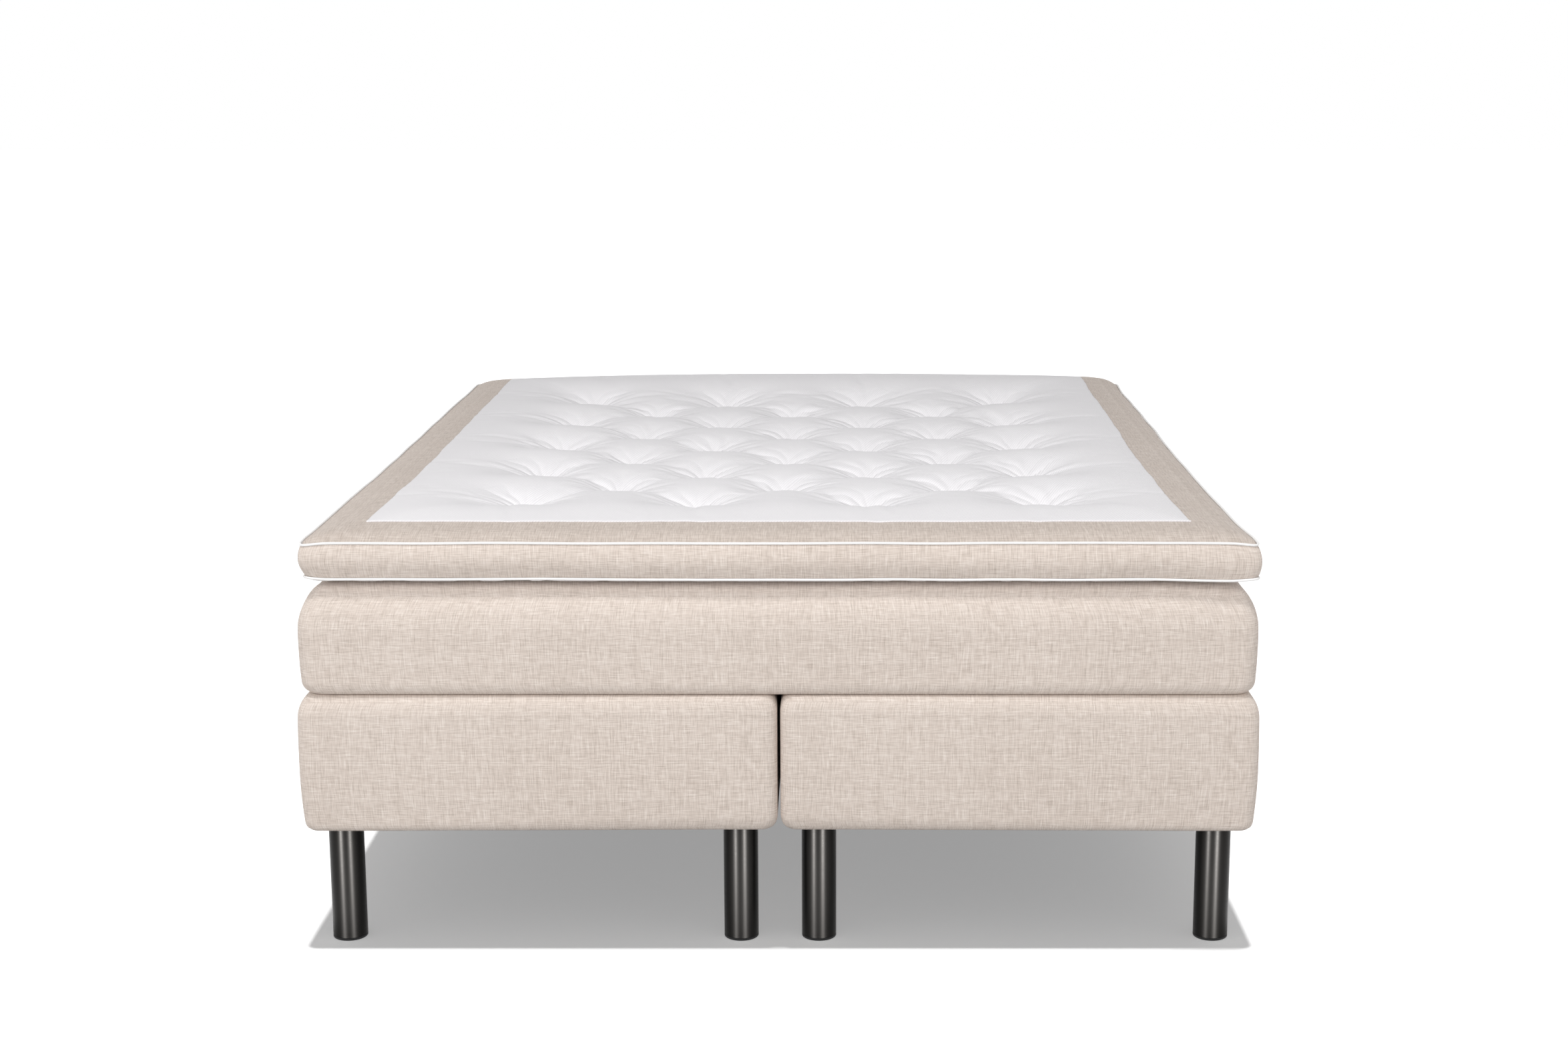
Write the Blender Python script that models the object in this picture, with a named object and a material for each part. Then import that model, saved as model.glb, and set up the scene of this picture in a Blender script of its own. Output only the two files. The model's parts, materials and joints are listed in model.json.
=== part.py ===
"""A box spring bed of 160 x 200 cm: two upholstered spring bases on screw-in legs, a pocket
spring mattress that lies across both, and a tufted topper with piped edges.

Metres, +Z up. The origin is on the floor under the middle of the bed. The foot end faces -Y, the
head end +Y, and +X is on the right of someone standing at the foot end. A base has an outer side,
towards the edge of the bed, and an inner side, towards the other base.
"""

import math

import bmesh
import bpy
from mathutils import Matrix, Vector
from mathutils.geometry import delaunay_2d_cdt

# Sizes of the whole bed, between the middles of the topper's pipings
BED_WIDTH = 1.600
BED_LENGTH = 2.000

# Clearance between two pieces that rest on each other, and how far a cutter runs past its cut
SEAT_GAP = 0.0003
CUT_OVERRUN = 0.010

# Points closer than this are one point
MERGE_DISTANCE = 0.00001

# Legs: a steel tube closed at the top, with an M8 stud, and a plastic glide pressed in below
LEG_LENGTH = 0.2041
LEG_RADIUS = 0.030
LEG_WALL = 0.0015
LEG_TOP_PLATE = 0.008
LEG_INSET_OUTER = 0.062
LEG_INSET_INNER = 0.066
LEG_INSET_END = 0.065
LEG_SIDES = 20
STUD_RADIUS = 0.004
STUD_LENGTH = 0.034
STUD_POINT = 0.001
GLIDE_RIM = 0.0045
GLIDE_ROUND = 0.0015
GLIDE_SPIGOT = 0.012

# Tee nuts in the frame, which the studs screw into
NUT_FLANGE_RADIUS = 0.011
NUT_FLANGE = 0.0015
NUT_BARREL_RADIUS = 0.0055
NUT_BARREL = 0.012
THREAD_GAP = 0.0003
NUT_SIDES = 12

# A base: how far it stands out past the bed's width and length, and its upholstery
BASE_GAP = 0.004
BASE_OUT_SIDE = 0.016
BASE_OUT_END = 0.006
BASE_CORNER = 0.020
BASE_DRAW_IN = 0.009
BASE_WIDEST_HEIGHT = 0.150
BASE_BOTTOM_ROUND = 0.008
BASE_BOTTOM_ROUND_HEIGHT = 0.015
BASE_TOP_ROUND = 0.022
BASE_TOP_ROUND_HEIGHT = 0.040
MEETING_BOTTOM_ROUND = 0.016
MEETING_BOTTOM_ROUND_HEIGHT = 0.030
MEETING_TOP_ROUND = 0.014
MEETING_TOP_ROUND_HEIGHT = 0.030
PAD_WALL = 0.022
COVER_TOP = 0.006
HEM_WIDTH = 0.040
HEM_THICKNESS = 0.0015
INNER_CORNER = 0.0005

# The layers inside a base, from the bottom up
FRAME_HEIGHT = 0.100
RAIL_THICKNESS = 0.022
LEG_PLANK_WIDTH = 0.100
LEG_PLANK_THICKNESS = 0.030
DECK_THICKNESS = 0.009
BASE_SPRING_HEIGHT = 0.090
BASE_POCKET = 0.075
BASE_POCKET_MARGIN = 0.008
FELT_THICKNESS = 0.004
BASE_FOAM = 0.028

# The mattress
MATTRESS_OUT_SIDE = 0.007
MATTRESS_OUT_END = 0.003
MATTRESS_CORNER = 0.030
MATTRESS_TOP_ROUND = 0.056
MATTRESS_TOP_ROUND_HEIGHT = 0.085
MATTRESS_BOTTOM_ROUND = 0.027
MATTRESS_BOTTOM_ROUND_HEIGHT = 0.045
MATTRESS_COVER = 0.004
MATTRESS_RETURN = 0.020
FOAM_WALL_WIDTH = 0.075
BOTTOM_FOAM = 0.020
MATTRESS_SPRING_HEIGHT = 0.120
MATTRESS_POCKET = 0.070
TOP_FOAM = 0.044

# The topper: seams are where the pipings lie
SEAM_HEIGHT = 0.062
PIPING_RADIUS = 0.0022
TOPPER_CORNER = 0.018
TOPPER_BELLY = 0.0086
BELLY_WIDTH = 0.045
BOXING_THICKNESS = 0.003
BOXING_BULGE = 0.005
BAND_WIDTH = 0.090
TICKING_THICKNESS = 0.003
UNDERSIDE_THICKNESS = 0.002
CROWN = 0.055
CROWN_REACH = 0.350
CROWN_POWER = 1.6

# Tufts: rows of four and of three by turns, on a square lattice
TUFT_PITCH = 0.158
TUFT_DEPTH = 0.075
TUFT_REACH = 0.150
TUFT_POWER = 2.0
TUFT_RING = 0.045
TUFT_RING_POINTS = 6
TUFT_ROWS = 9
TUFTS_IN_LONG_ROW = 4

# Half of the arc of a spring pocket that stands free of its neighbours
POCKET_ARC = math.radians(40)

# Faces that meet at more than this angle have a sharp edge between them
SHARP_ANGLE = math.radians(50)

# Segments in a quarter turn, and in an upholstered edge
CORNER_STEPS = 3
EDGE_STEPS = 4
BOXING_STEPS = 4

# Heights above the floor, each stacked on the one below
LEG_BOTTOM = GLIDE_RIM + SEAT_GAP
LEG_TOP = LEG_BOTTOM + LEG_LENGTH
BASE_BOTTOM = LEG_TOP + SEAT_GAP

# Heights above the bottom of a base
FRAME_BOTTOM = HEM_THICKNESS + SEAT_GAP
DECK_BOTTOM = FRAME_BOTTOM + FRAME_HEIGHT + SEAT_GAP
BASE_SPRING_BOTTOM = DECK_BOTTOM + DECK_THICKNESS + SEAT_GAP
FELT_BOTTOM = BASE_SPRING_BOTTOM + BASE_SPRING_HEIGHT + SEAT_GAP
BASE_FOAM_BOTTOM = FELT_BOTTOM + FELT_THICKNESS + SEAT_GAP
BASE_FOAM_TOP = BASE_FOAM_BOTTOM + BASE_FOAM
BASE_HEIGHT = BASE_FOAM_TOP + SEAT_GAP + COVER_TOP

# Heights above the bottom of the mattress
BOTTOM_FOAM_BOTTOM = MATTRESS_COVER + SEAT_GAP
CORE_BOTTOM = BOTTOM_FOAM_BOTTOM + BOTTOM_FOAM + SEAT_GAP
TOP_FOAM_BOTTOM = CORE_BOTTOM + MATTRESS_SPRING_HEIGHT + SEAT_GAP
TOP_FOAM_TOP = TOP_FOAM_BOTTOM + TOP_FOAM
MATTRESS_HEIGHT = TOP_FOAM_TOP + SEAT_GAP + MATTRESS_COVER

MATTRESS_BOTTOM = BASE_BOTTOM + BASE_HEIGHT + SEAT_GAP
TOPPER_BOTTOM = MATTRESS_BOTTOM + MATTRESS_HEIGHT + SEAT_GAP

# Heights above the bottom of the topper
LOWER_SEAM = TOPPER_BELLY
UPPER_SEAM = LOWER_SEAM + SEAM_HEIGHT

# Plan sizes, half of each
BASE_HALF_WIDTH = (BED_WIDTH / 2 + BASE_OUT_SIDE - BASE_GAP / 2) / 2
BASE_HALF_LENGTH = BED_LENGTH / 2 + BASE_OUT_END
BASE_MIDDLE = BASE_GAP / 2 + BASE_HALF_WIDTH
FRAME_HALF_WIDTH = BASE_HALF_WIDTH - PAD_WALL - SEAT_GAP
FRAME_HALF_LENGTH = BASE_HALF_LENGTH - PAD_WALL - SEAT_GAP
MATTRESS_HALF_WIDTH = BED_WIDTH / 2 + MATTRESS_OUT_SIDE
MATTRESS_HALF_LENGTH = BED_LENGTH / 2 + MATTRESS_OUT_END
TOPPER_INSIDE_HALF_WIDTH = BED_WIDTH / 2 - PIPING_RADIUS - SEAT_GAP
TOPPER_INSIDE_HALF_LENGTH = BED_LENGTH / 2 - PIPING_RADIUS - SEAT_GAP
PANEL_HALF_WIDTH = TOPPER_INSIDE_HALF_WIDTH - BAND_WIDTH
PANEL_HALF_LENGTH = TOPPER_INSIDE_HALF_LENGTH - BAND_WIDTH


def clear_scene():
    for obj in list(bpy.data.objects):
        bpy.data.objects.remove(obj, do_unlink=True)


def material(name, color, roughness, metallic=0.0):
    """A Principled material. The colour is linear."""
    made = bpy.data.materials.new(name)
    made.use_nodes = True
    shader = made.node_tree.nodes["Principled BSDF"]
    shader.inputs["Base Color"].default_value = (*color, 1.0)
    shader.inputs["Roughness"].default_value = roughness
    shader.inputs["Metallic"].default_value = metallic
    made.diffuse_color = (*color, 1.0)
    return made


def empty(name, location):
    made = bpy.data.objects.new(name, None)
    made.location = location
    bpy.context.collection.objects.link(made)
    return made


def add_object(name, data, parent, location=(0, 0, 0)):
    made = bpy.data.objects.new(name, data)
    bpy.context.collection.objects.link(made)
    made.parent = parent
    made.location = location
    return made


def solid(name, bm, finish, parent, location=(0, 0, 0), smooth=False):
    """The bmesh as an object, with its faces turned outwards."""
    bmesh.ops.recalc_face_normals(bm, faces=bm.faces)
    mesh = bpy.data.meshes.new(name)
    bm.to_mesh(mesh)
    bm.free()
    mesh.materials.append(finish)
    if smooth:
        mesh.shade_smooth()
        mesh.set_sharp_from_angle(angle=SHARP_ANGLE)
    return add_object(name, mesh, parent, location)


def block(name, low, high, finish, parent):
    """A board or slab between two corners."""
    low, high = Vector(low), Vector(high)
    bm = bmesh.new()
    place = Matrix.Translation((low + high) / 2) @ Matrix.Diagonal((*(high - low), 1))
    bmesh.ops.create_cube(bm, size=1, matrix=place)
    return solid(name, bm, finish, parent)


def turned(name, profile, sides, finish, parent, location=(0, 0, 0), closed=False):
    """A profile of (radius, height) points spun round the Z axis."""
    bm = bmesh.new()
    points = [bm.verts.new((radius, 0, height)) for radius, height in profile]
    ends = points + points[:1] if closed else points
    lines = [bm.edges.new(pair) for pair in zip(ends, ends[1:])]
    bmesh.ops.spin(
        bm, geom=points + lines, cent=(0, 0, 0), axis=(0, 0, 1),
        angle=math.tau, steps=sides, use_merge=True,
    )
    bmesh.ops.remove_doubles(bm, verts=bm.verts, dist=MERGE_DISTANCE)
    return solid(name, bm, finish, parent, location, smooth=True)


def rounded_outline(low, high, radius, steps=CORNER_STEPS):
    """Points round a rectangle with quarter-round corners, anticlockwise from the low corner."""
    corners = (
        (low[0] + radius, low[1] + radius, math.pi),
        (high[0] - radius, low[1] + radius, 1.5 * math.pi),
        (high[0] - radius, high[1] - radius, 0.0),
        (low[0] + radius, high[1] - radius, 0.5 * math.pi),
    )
    points = []
    for x, y, start in corners:
        for step in range(steps + 1):
            angle = start + 0.5 * math.pi * step / steps
            points.append((x + radius * math.cos(angle), y + radius * math.sin(angle)))
    return points


def ring_at(outline, height):
    return [(x, y, height) for x, y in outline]


def extruded_ring(bm, ring, points):
    """Extrudes a closed ring of vertices and puts the new ones at these points."""
    edges = [bm.edges.get((ring[i - 1], ring[i])) for i in range(len(ring))]
    made = bmesh.ops.extrude_edge_only(bm, edges=edges)["geom"]
    new = {item for item in made if isinstance(item, bmesh.types.BMVert)}
    following = []
    for vertex, point in zip(ring, points):
        above = next(e.other_vert(vertex) for e in vertex.link_edges if e.other_vert(vertex) in new)
        following.append(above)
        above.co = point
    return following


def new_ring(bm, points):
    ring = [bm.verts.new(point) for point in points]
    for i in range(len(ring)):
        bm.edges.new((ring[i - 1], ring[i]))
    return ring


def skinned(rings, closed=False):
    """A bmesh skinned over rings of points, with a cap at each end, or joined end to end."""
    bm = bmesh.new()
    first = new_ring(bm, rings[0])
    ring = first
    for points in rings[1:]:
        ring = extruded_ring(bm, ring, points)
    if closed:
        for i in range(len(ring)):
            bm.faces.new((ring[i - 1], ring[i], first[i], first[i - 1]))
    else:
        bm.faces.new(first)
        bm.faces.new(ring)
    return bm


def edge_round(distance, depth, height):
    """Inset of an elliptical edge, at this distance from the flat face it turns into."""
    if distance >= height:
        return 0.0
    left = 1 - max(distance, 0.0) / height
    return depth * (1 - math.sqrt(1 - left**2))


def edge_heights(low_round, high, high_round, between=()):
    """Heights from high down to zero, close together in the two rounded edges."""
    shares = [1 - math.cos(0.5 * math.pi * i / EDGE_STEPS) for i in range(EDGE_STEPS + 1)]
    upper = [high - high_round * share for share in shares]
    lower = [low_round * share for share in reversed(shares)]
    return upper + list(between) + lower


def base_outer_inset(height):
    """How far a base's outer side, foot or head lies in from its widest line."""
    drawn = BASE_DRAW_IN * max(1 - height / BASE_WIDEST_HEIGHT, 0) ** 2
    bottom = edge_round(height, BASE_BOTTOM_ROUND, BASE_BOTTOM_ROUND_HEIGHT)
    top = edge_round(BASE_HEIGHT - height, BASE_TOP_ROUND, BASE_TOP_ROUND_HEIGHT)
    return drawn + bottom + top


def base_inner_inset(height):
    """The same, on the side that meets the other base."""
    bottom = edge_round(height, MEETING_BOTTOM_ROUND, MEETING_BOTTOM_ROUND_HEIGHT)
    top = edge_round(BASE_HEIGHT - height, MEETING_TOP_ROUND, MEETING_TOP_ROUND_HEIGHT)
    return bottom + top


def base_ring(side, height, inner, outer, end, corner):
    """A rounded rectangle inside a base's plan, by its insets from the four sides."""
    outline = rounded_outline(
        (-BASE_HALF_WIDTH + inner, -BASE_HALF_LENGTH + end),
        (BASE_HALF_WIDTH - outer, BASE_HALF_LENGTH - end),
        corner,
    )
    return [(side * x, y, height) for x, y in outline]


def base_cover(name, side, finish, parent):
    """The linen cover with its wadding: a box open below, turned in under the frame as a hem."""
    rings = []
    drawn = (BASE_WIDEST_HEIGHT, BASE_WIDEST_HEIGHT / 2)
    for height in edge_heights(MEETING_BOTTOM_ROUND_HEIGHT, BASE_HEIGHT, BASE_TOP_ROUND_HEIGHT, drawn):
        outer = base_outer_inset(height)
        rings.append(base_ring(side, height, base_inner_inset(height), outer, outer, BASE_CORNER))
    for height in (0, HEM_THICKNESS):
        rings.append(base_ring(side, height, HEM_WIDTH, HEM_WIDTH, HEM_WIDTH, INNER_CORNER))
    for height in (HEM_THICKNESS, BASE_HEIGHT - COVER_TOP):
        rings.append(base_ring(side, height, PAD_WALL, PAD_WALL, PAD_WALL, INNER_CORNER))
    return solid(name, skinned(rings), finish, parent, smooth=True)


def mirrored_block(name, side, low, high, finish, parent):
    """A block given for the right base, mirrored in X for the left one."""
    xs = sorted((side * low[0], side * high[0]))
    return block(name, (xs[0], low[1], low[2]), (xs[1], high[1], high[2]), finish, parent)


def end_rail(name, end, finish, parent):
    """The board across the foot or head, with the leg plank glued flat along its inside."""
    face = end * FRAME_HALF_LENGTH
    board = end * (FRAME_HALF_LENGTH - RAIL_THICKNESS)
    plank = end * (FRAME_HALF_LENGTH - LEG_PLANK_WIDTH)
    bottom, top = FRAME_BOTTOM, FRAME_BOTTOM + FRAME_HEIGHT
    plank_top = FRAME_BOTTOM + LEG_PLANK_THICKNESS
    section = (
        (face, bottom), (plank, bottom), (plank, plank_top),
        (board, plank_top), (board, top), (face, top),
    )
    reach = FRAME_HALF_WIDTH - RAIL_THICKNESS - SEAT_GAP
    rings = [[(x, y, z) for y, z in section] for x in (-reach, reach)]
    return solid(name, skinned(rings), finish, parent)


def pocket_outline(half_width, half_length, pocket):
    """The outline of a field of round spring pockets, two short faces and a crest to each."""
    columns = int(2 * half_width / pocket)
    rows = int(2 * half_length / pocket)
    radius = pocket / 2
    angles = (-POCKET_ARC, 0.0, POCKET_ARC)
    outline = []
    sides = (
        (columns, rows, -0.5 * math.pi), (rows, columns, 0.0),
        (columns, rows, 0.5 * math.pi), (rows, columns, math.pi),
    )
    for along, across, facing in sides:
        out = Vector((math.cos(facing), math.sin(facing)))
        onward = Vector((-out.y, out.x))
        for i in range(along):
            middle = out * (across - 1) * radius + onward * (2 * i - along + 1) * radius
            for angle in angles:
                outline.append(middle + radius * (out * math.cos(angle) + onward * math.sin(angle)))
    return outline


def spring_unit(name, half_width, half_length, pocket, bottom, height, finish, parent):
    """Coils sewn into a field of fabric pockets that are glued together side by side."""
    outline = pocket_outline(half_width, half_length, pocket)
    rings = [[(x, y, z) for x, y in outline] for z in (bottom, bottom + height)]
    return solid(name, skinned(rings), finish, parent)


def bored(piece, places, radius, depth_range, parent):
    """Bores round holes through a piece at these places, with one cutter for each."""
    low, high = depth_range
    for x, y in places:
        bm = bmesh.new()
        bmesh.ops.create_cone(
            bm, cap_ends=True, segments=NUT_SIDES, radius1=radius, radius2=radius,
            depth=high - low, matrix=Matrix.Translation((x, y, (low + high) / 2)),
        )
        cutter = solid(piece.name + "_cutter", bm, piece.data.materials[0], parent)
        cutter.hide_render = True
        cutter.display_type = "WIRE"
        cut = piece.modifiers.new("Stud hole", "BOOLEAN")
        cut.operation = "DIFFERENCE"
        cut.object = cutter


def leg_places(side):
    """The four leg axes of a base, as name, x and y from the middle of the base."""
    xs = {"outer": BASE_HALF_WIDTH - LEG_INSET_OUTER, "inner": -BASE_HALF_WIDTH + LEG_INSET_INNER}
    ys = {"foot": -BASE_HALF_LENGTH + LEG_INSET_END, "head": BASE_HALF_LENGTH - LEG_INSET_END}
    return [(f"{end}_{across}", side * x, y) for end, y in ys.items() for across, x in xs.items()]


def leg(name, x, y, finishes, parent):
    """A leg with its origin on its stud's axis, level with the bottom of the tube."""
    bore = LEG_RADIUS - LEG_WALL
    tube = turned(
        name,
        (
            (0, LEG_LENGTH + STUD_LENGTH),
            (STUD_RADIUS - STUD_POINT, LEG_LENGTH + STUD_LENGTH),
            (STUD_RADIUS, LEG_LENGTH + STUD_LENGTH - STUD_POINT),
            (STUD_RADIUS, LEG_LENGTH),
            (LEG_RADIUS, LEG_LENGTH),
            (LEG_RADIUS, 0),
            (bore, 0),
            (bore, LEG_LENGTH - LEG_TOP_PLATE),
            (0, LEG_LENGTH - LEG_TOP_PLATE),
        ),
        LEG_SIDES, finishes["leg_steel"], parent, (x, y, LEG_BOTTOM - BASE_BOTTOM),
    )
    spigot = bore - SEAT_GAP
    turned(
        name + "_glide",
        (
            (0, GLIDE_SPIGOT),
            (spigot, GLIDE_SPIGOT),
            (spigot, -SEAT_GAP),
            (LEG_RADIUS, -SEAT_GAP),
            (LEG_RADIUS, GLIDE_ROUND - LEG_BOTTOM),
            (LEG_RADIUS - GLIDE_ROUND, -LEG_BOTTOM),
            (0, -LEG_BOTTOM),
        ),
        LEG_SIDES, finishes["glide_plastic"], tube,
    )


def tee_nut(name, x, y, finishes, parent):
    """A flanged nut let into the leg plank from above."""
    seat = FRAME_BOTTOM + LEG_PLANK_THICKNESS + SEAT_GAP
    bore = STUD_RADIUS + THREAD_GAP
    turned(
        name,
        (
            (bore, seat + NUT_FLANGE),
            (NUT_FLANGE_RADIUS, seat + NUT_FLANGE),
            (NUT_FLANGE_RADIUS, seat),
            (NUT_BARREL_RADIUS, seat),
            (NUT_BARREL_RADIUS, seat - NUT_BARREL),
            (bore, seat - NUT_BARREL),
        ),
        NUT_SIDES, finishes["zinc_steel"], parent, (x, y, 0), closed=True,
    )


def base(word, side, finishes, parent):
    """One upholstered base. side is 1 for the right one and -1 for the left one."""
    frame_top = FRAME_BOTTOM + FRAME_HEIGHT
    between = FRAME_HALF_WIDTH - RAIL_THICKNESS
    wood = finishes["pine"]
    base_cover(f"{word}_base_cover", side, finishes["linen"], parent)
    mirrored_block(
        f"{word}_base_outer_rail", side,
        (between, -FRAME_HALF_LENGTH, FRAME_BOTTOM), (FRAME_HALF_WIDTH, FRAME_HALF_LENGTH, frame_top),
        wood, parent,
    )
    mirrored_block(
        f"{word}_base_inner_rail", side,
        (-FRAME_HALF_WIDTH, -FRAME_HALF_LENGTH, FRAME_BOTTOM), (-between, FRAME_HALF_LENGTH, frame_top),
        wood, parent,
    )
    reach = between - SEAT_GAP
    block(
        f"{word}_base_cross_rail",
        (-reach, -RAIL_THICKNESS / 2, FRAME_BOTTOM), (reach, RAIL_THICKNESS / 2, frame_top),
        wood, parent,
    )
    places = leg_places(side)
    hole = NUT_BARREL_RADIUS + SEAT_GAP
    drilled = (-CUT_OVERRUN, FRAME_BOTTOM + LEG_PLANK_THICKNESS + CUT_OVERRUN)
    for end, direction in (("foot", -1), ("head", 1)):
        rail = end_rail(f"{word}_base_{end}_rail", direction, wood, parent)
        bored(rail, [(x, y) for _, x, y in places if y * direction > 0], hole, drilled, parent)
    block(
        f"{word}_base_deck",
        (-FRAME_HALF_WIDTH, -FRAME_HALF_LENGTH, DECK_BOTTOM),
        (FRAME_HALF_WIDTH, FRAME_HALF_LENGTH, DECK_BOTTOM + DECK_THICKNESS),
        finishes["plywood"], parent,
    )
    spring_unit(
        f"{word}_base_spring_unit",
        FRAME_HALF_WIDTH - BASE_POCKET_MARGIN, FRAME_HALF_LENGTH - BASE_POCKET_MARGIN, BASE_POCKET,
        BASE_SPRING_BOTTOM, BASE_SPRING_HEIGHT, finishes["pocket_cloth"], parent,
    )
    block(
        f"{word}_base_felt_pad",
        (-FRAME_HALF_WIDTH, -FRAME_HALF_LENGTH, FELT_BOTTOM),
        (FRAME_HALF_WIDTH, FRAME_HALF_LENGTH, FELT_BOTTOM + FELT_THICKNESS),
        finishes["felt"], parent,
    )
    block(
        f"{word}_base_foam_pad",
        (-FRAME_HALF_WIDTH, -FRAME_HALF_LENGTH, BASE_FOAM_BOTTOM),
        (FRAME_HALF_WIDTH, FRAME_HALF_LENGTH, BASE_FOAM_TOP),
        finishes["foam"], parent,
    )
    dust_half_width = BASE_HALF_WIDTH - HEM_WIDTH - SEAT_GAP
    dust_half_length = BASE_HALF_LENGTH - HEM_WIDTH - SEAT_GAP
    dust_cover = block(
        f"{word}_base_dust_cover",
        (-dust_half_width, -dust_half_length, 0), (dust_half_width, dust_half_length, HEM_THICKNESS),
        finishes["dust_cloth"], parent,
    )
    bored(dust_cover, [(x, y) for _, x, y in places], hole, (-CUT_OVERRUN, CUT_OVERRUN), parent)
    for place, x, y in places:
        leg(f"{word}_{place}_leg", x, y, finishes, parent)
        tee_nut(f"{word}_{place}_tee_nut", x, y, finishes, parent)


def mattress_profile(inside):
    """(height, inset) points down the mattress's side, or down a surface this far inside it."""
    points = []
    for height in edge_heights(
        MATTRESS_BOTTOM_ROUND_HEIGHT, MATTRESS_HEIGHT, MATTRESS_TOP_ROUND_HEIGHT,
    ):
        inset = inside
        inset += edge_round(height, MATTRESS_BOTTOM_ROUND, MATTRESS_BOTTOM_ROUND_HEIGHT)
        inset += edge_round(MATTRESS_HEIGHT - height, MATTRESS_TOP_ROUND, MATTRESS_TOP_ROUND_HEIGHT)
        inwards = -inside if height > MATTRESS_HEIGHT / 2 else inside
        points.append((height + inwards, inset))
    return points


def inset_at(profile, height):
    """The inset at this height of a profile that is given from the top down."""
    for (above, first), (below, second) in zip(profile, profile[1:]):
        if height >= below:
            return first + (second - first) * (above - height) / (above - below)
    return profile[-1][1]


def mattress_ring(height, inset, corner):
    outline = rounded_outline(
        (-MATTRESS_HALF_WIDTH + inset, -MATTRESS_HALF_LENGTH + inset),
        (MATTRESS_HALF_WIDTH - inset, MATTRESS_HALF_LENGTH - inset),
        corner,
    )
    return ring_at(outline, height)


def mattress_layer(bottom, height):
    """Rings of a layer that fills the cover from this bottom to its height, from the top down."""
    inside = MATTRESS_COVER + SEAT_GAP
    profile = mattress_profile(inside)
    top = bottom + height
    heights = [top] + [z for z, _ in profile if bottom < z < top] + [bottom]
    return [mattress_ring(z, inset_at(profile, z), MATTRESS_CORNER - inside) for z in heights]


def mattress(finishes, parent):
    linen, foam = finishes["linen"], finishes["foam"]
    rings = [mattress_ring(z, inset, MATTRESS_CORNER) for z, inset in mattress_profile(0)]
    opening = MATTRESS_BOTTOM_ROUND + MATTRESS_RETURN
    for height in (0, MATTRESS_COVER):
        rings.append(mattress_ring(height, opening, INNER_CORNER))
    for height, inset in reversed(mattress_profile(MATTRESS_COVER)):
        rings.append(mattress_ring(height, inset, MATTRESS_CORNER - MATTRESS_COVER))
    solid("mattress_cover", skinned(rings), linen, parent, smooth=True)

    panel = [mattress_ring(h, opening + SEAT_GAP, INNER_CORNER) for h in (MATTRESS_COVER, 0)]
    solid("mattress_bottom_panel", skinned(panel), finishes["dust_cloth"], parent)
    solid("mattress_bottom_foam", skinned(mattress_layer(BOTTOM_FOAM_BOTTOM, BOTTOM_FOAM)), foam, parent)
    solid("mattress_top_foam", skinned(mattress_layer(TOP_FOAM_BOTTOM, TOP_FOAM)), foam, parent)

    wall = mattress_layer(CORE_BOTTOM, MATTRESS_SPRING_HEIGHT)
    for height in (CORE_BOTTOM, CORE_BOTTOM + MATTRESS_SPRING_HEIGHT):
        wall.append(mattress_ring(height, FOAM_WALL_WIDTH, INNER_CORNER))
    solid("mattress_foam_wall", skinned(wall, closed=True), foam, parent)
    spring_unit(
        "mattress_pocket_spring_core",
        MATTRESS_HALF_WIDTH - FOAM_WALL_WIDTH - SEAT_GAP,
        MATTRESS_HALF_LENGTH - FOAM_WALL_WIDTH - SEAT_GAP,
        MATTRESS_POCKET, CORE_BOTTOM, MATTRESS_SPRING_HEIGHT, finishes["pocket_cloth"], parent,
    )


def tuft_places():
    """Where the tufts are: odd rows hold one tuft less and lie half a step over."""
    places = []
    for row in range(TUFT_ROWS):
        count = TUFTS_IN_LONG_ROW - row % 2
        y = (2 * row - TUFT_ROWS + 1) / 2 * TUFT_PITCH
        places += [((2 * i - count + 1) * TUFT_PITCH, y) for i in range(count)]
    return places


def rise(distance):
    """Share of the crown reached at this distance from an edge."""
    left = 1 - min(max(distance, 0) / CROWN_REACH, 1)
    return 1 - left**CROWN_POWER


def topper_height(x, y, tufts):
    """Height of the topper's upper face over its bottom: crowned, and drawn in at the tufts."""
    crown = CROWN * rise(BED_WIDTH / 2 - abs(x)) * rise(BED_LENGTH / 2 - abs(y))
    drawn = 0.0
    for tuft_x, tuft_y in tufts:
        reach = 1 - min(math.hypot(x - tuft_x, y - tuft_y) / TUFT_REACH, 1)
        drawn += TUFT_DEPTH * reach**TUFT_POWER
    return UPPER_SEAM + crown - drawn


def line_places(half, pitch):
    """Multiples of the pitch, on both sides of zero, that lie within a half width."""
    count = int(half / pitch)
    return [i * pitch for i in range(-count, count + 1)]


def frame_points(half_width, half_length, xs, ys):
    """Points round a rectangle, anticlockwise, where the lines at xs and ys cross it."""
    points = [(-half_width, -half_length)] + [(x, -half_length) for x in xs]
    points += [(half_width, -half_length)] + [(half_width, y) for y in ys]
    points += [(half_width, half_length)] + [(x, half_length) for x in reversed(xs)]
    points += [(-half_width, half_length)] + [(-half_width, y) for y in reversed(ys)]
    return points


def topper_outline(inset, xs, ys):
    """The rounded rectangle inside the pipings, with a point where each line crosses a side."""
    corner = TOPPER_CORNER - PIPING_RADIUS
    half_width = TOPPER_INSIDE_HALF_WIDTH - inset
    half_length = TOPPER_INSIDE_HALF_LENGTH - inset
    arcs = rounded_outline((-half_width, -half_length), (half_width, half_length), corner)
    turn = CORNER_STEPS + 1
    return (
        arcs[:turn] + [(x, -half_length) for x in xs]
        + arcs[turn:2 * turn] + [(half_width, y) for y in ys]
        + arcs[2 * turn:3 * turn] + [(x, half_length) for x in reversed(xs)]
        + arcs[3 * turn:] + [(-half_width, y) for y in reversed(ys)]
    )


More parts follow.
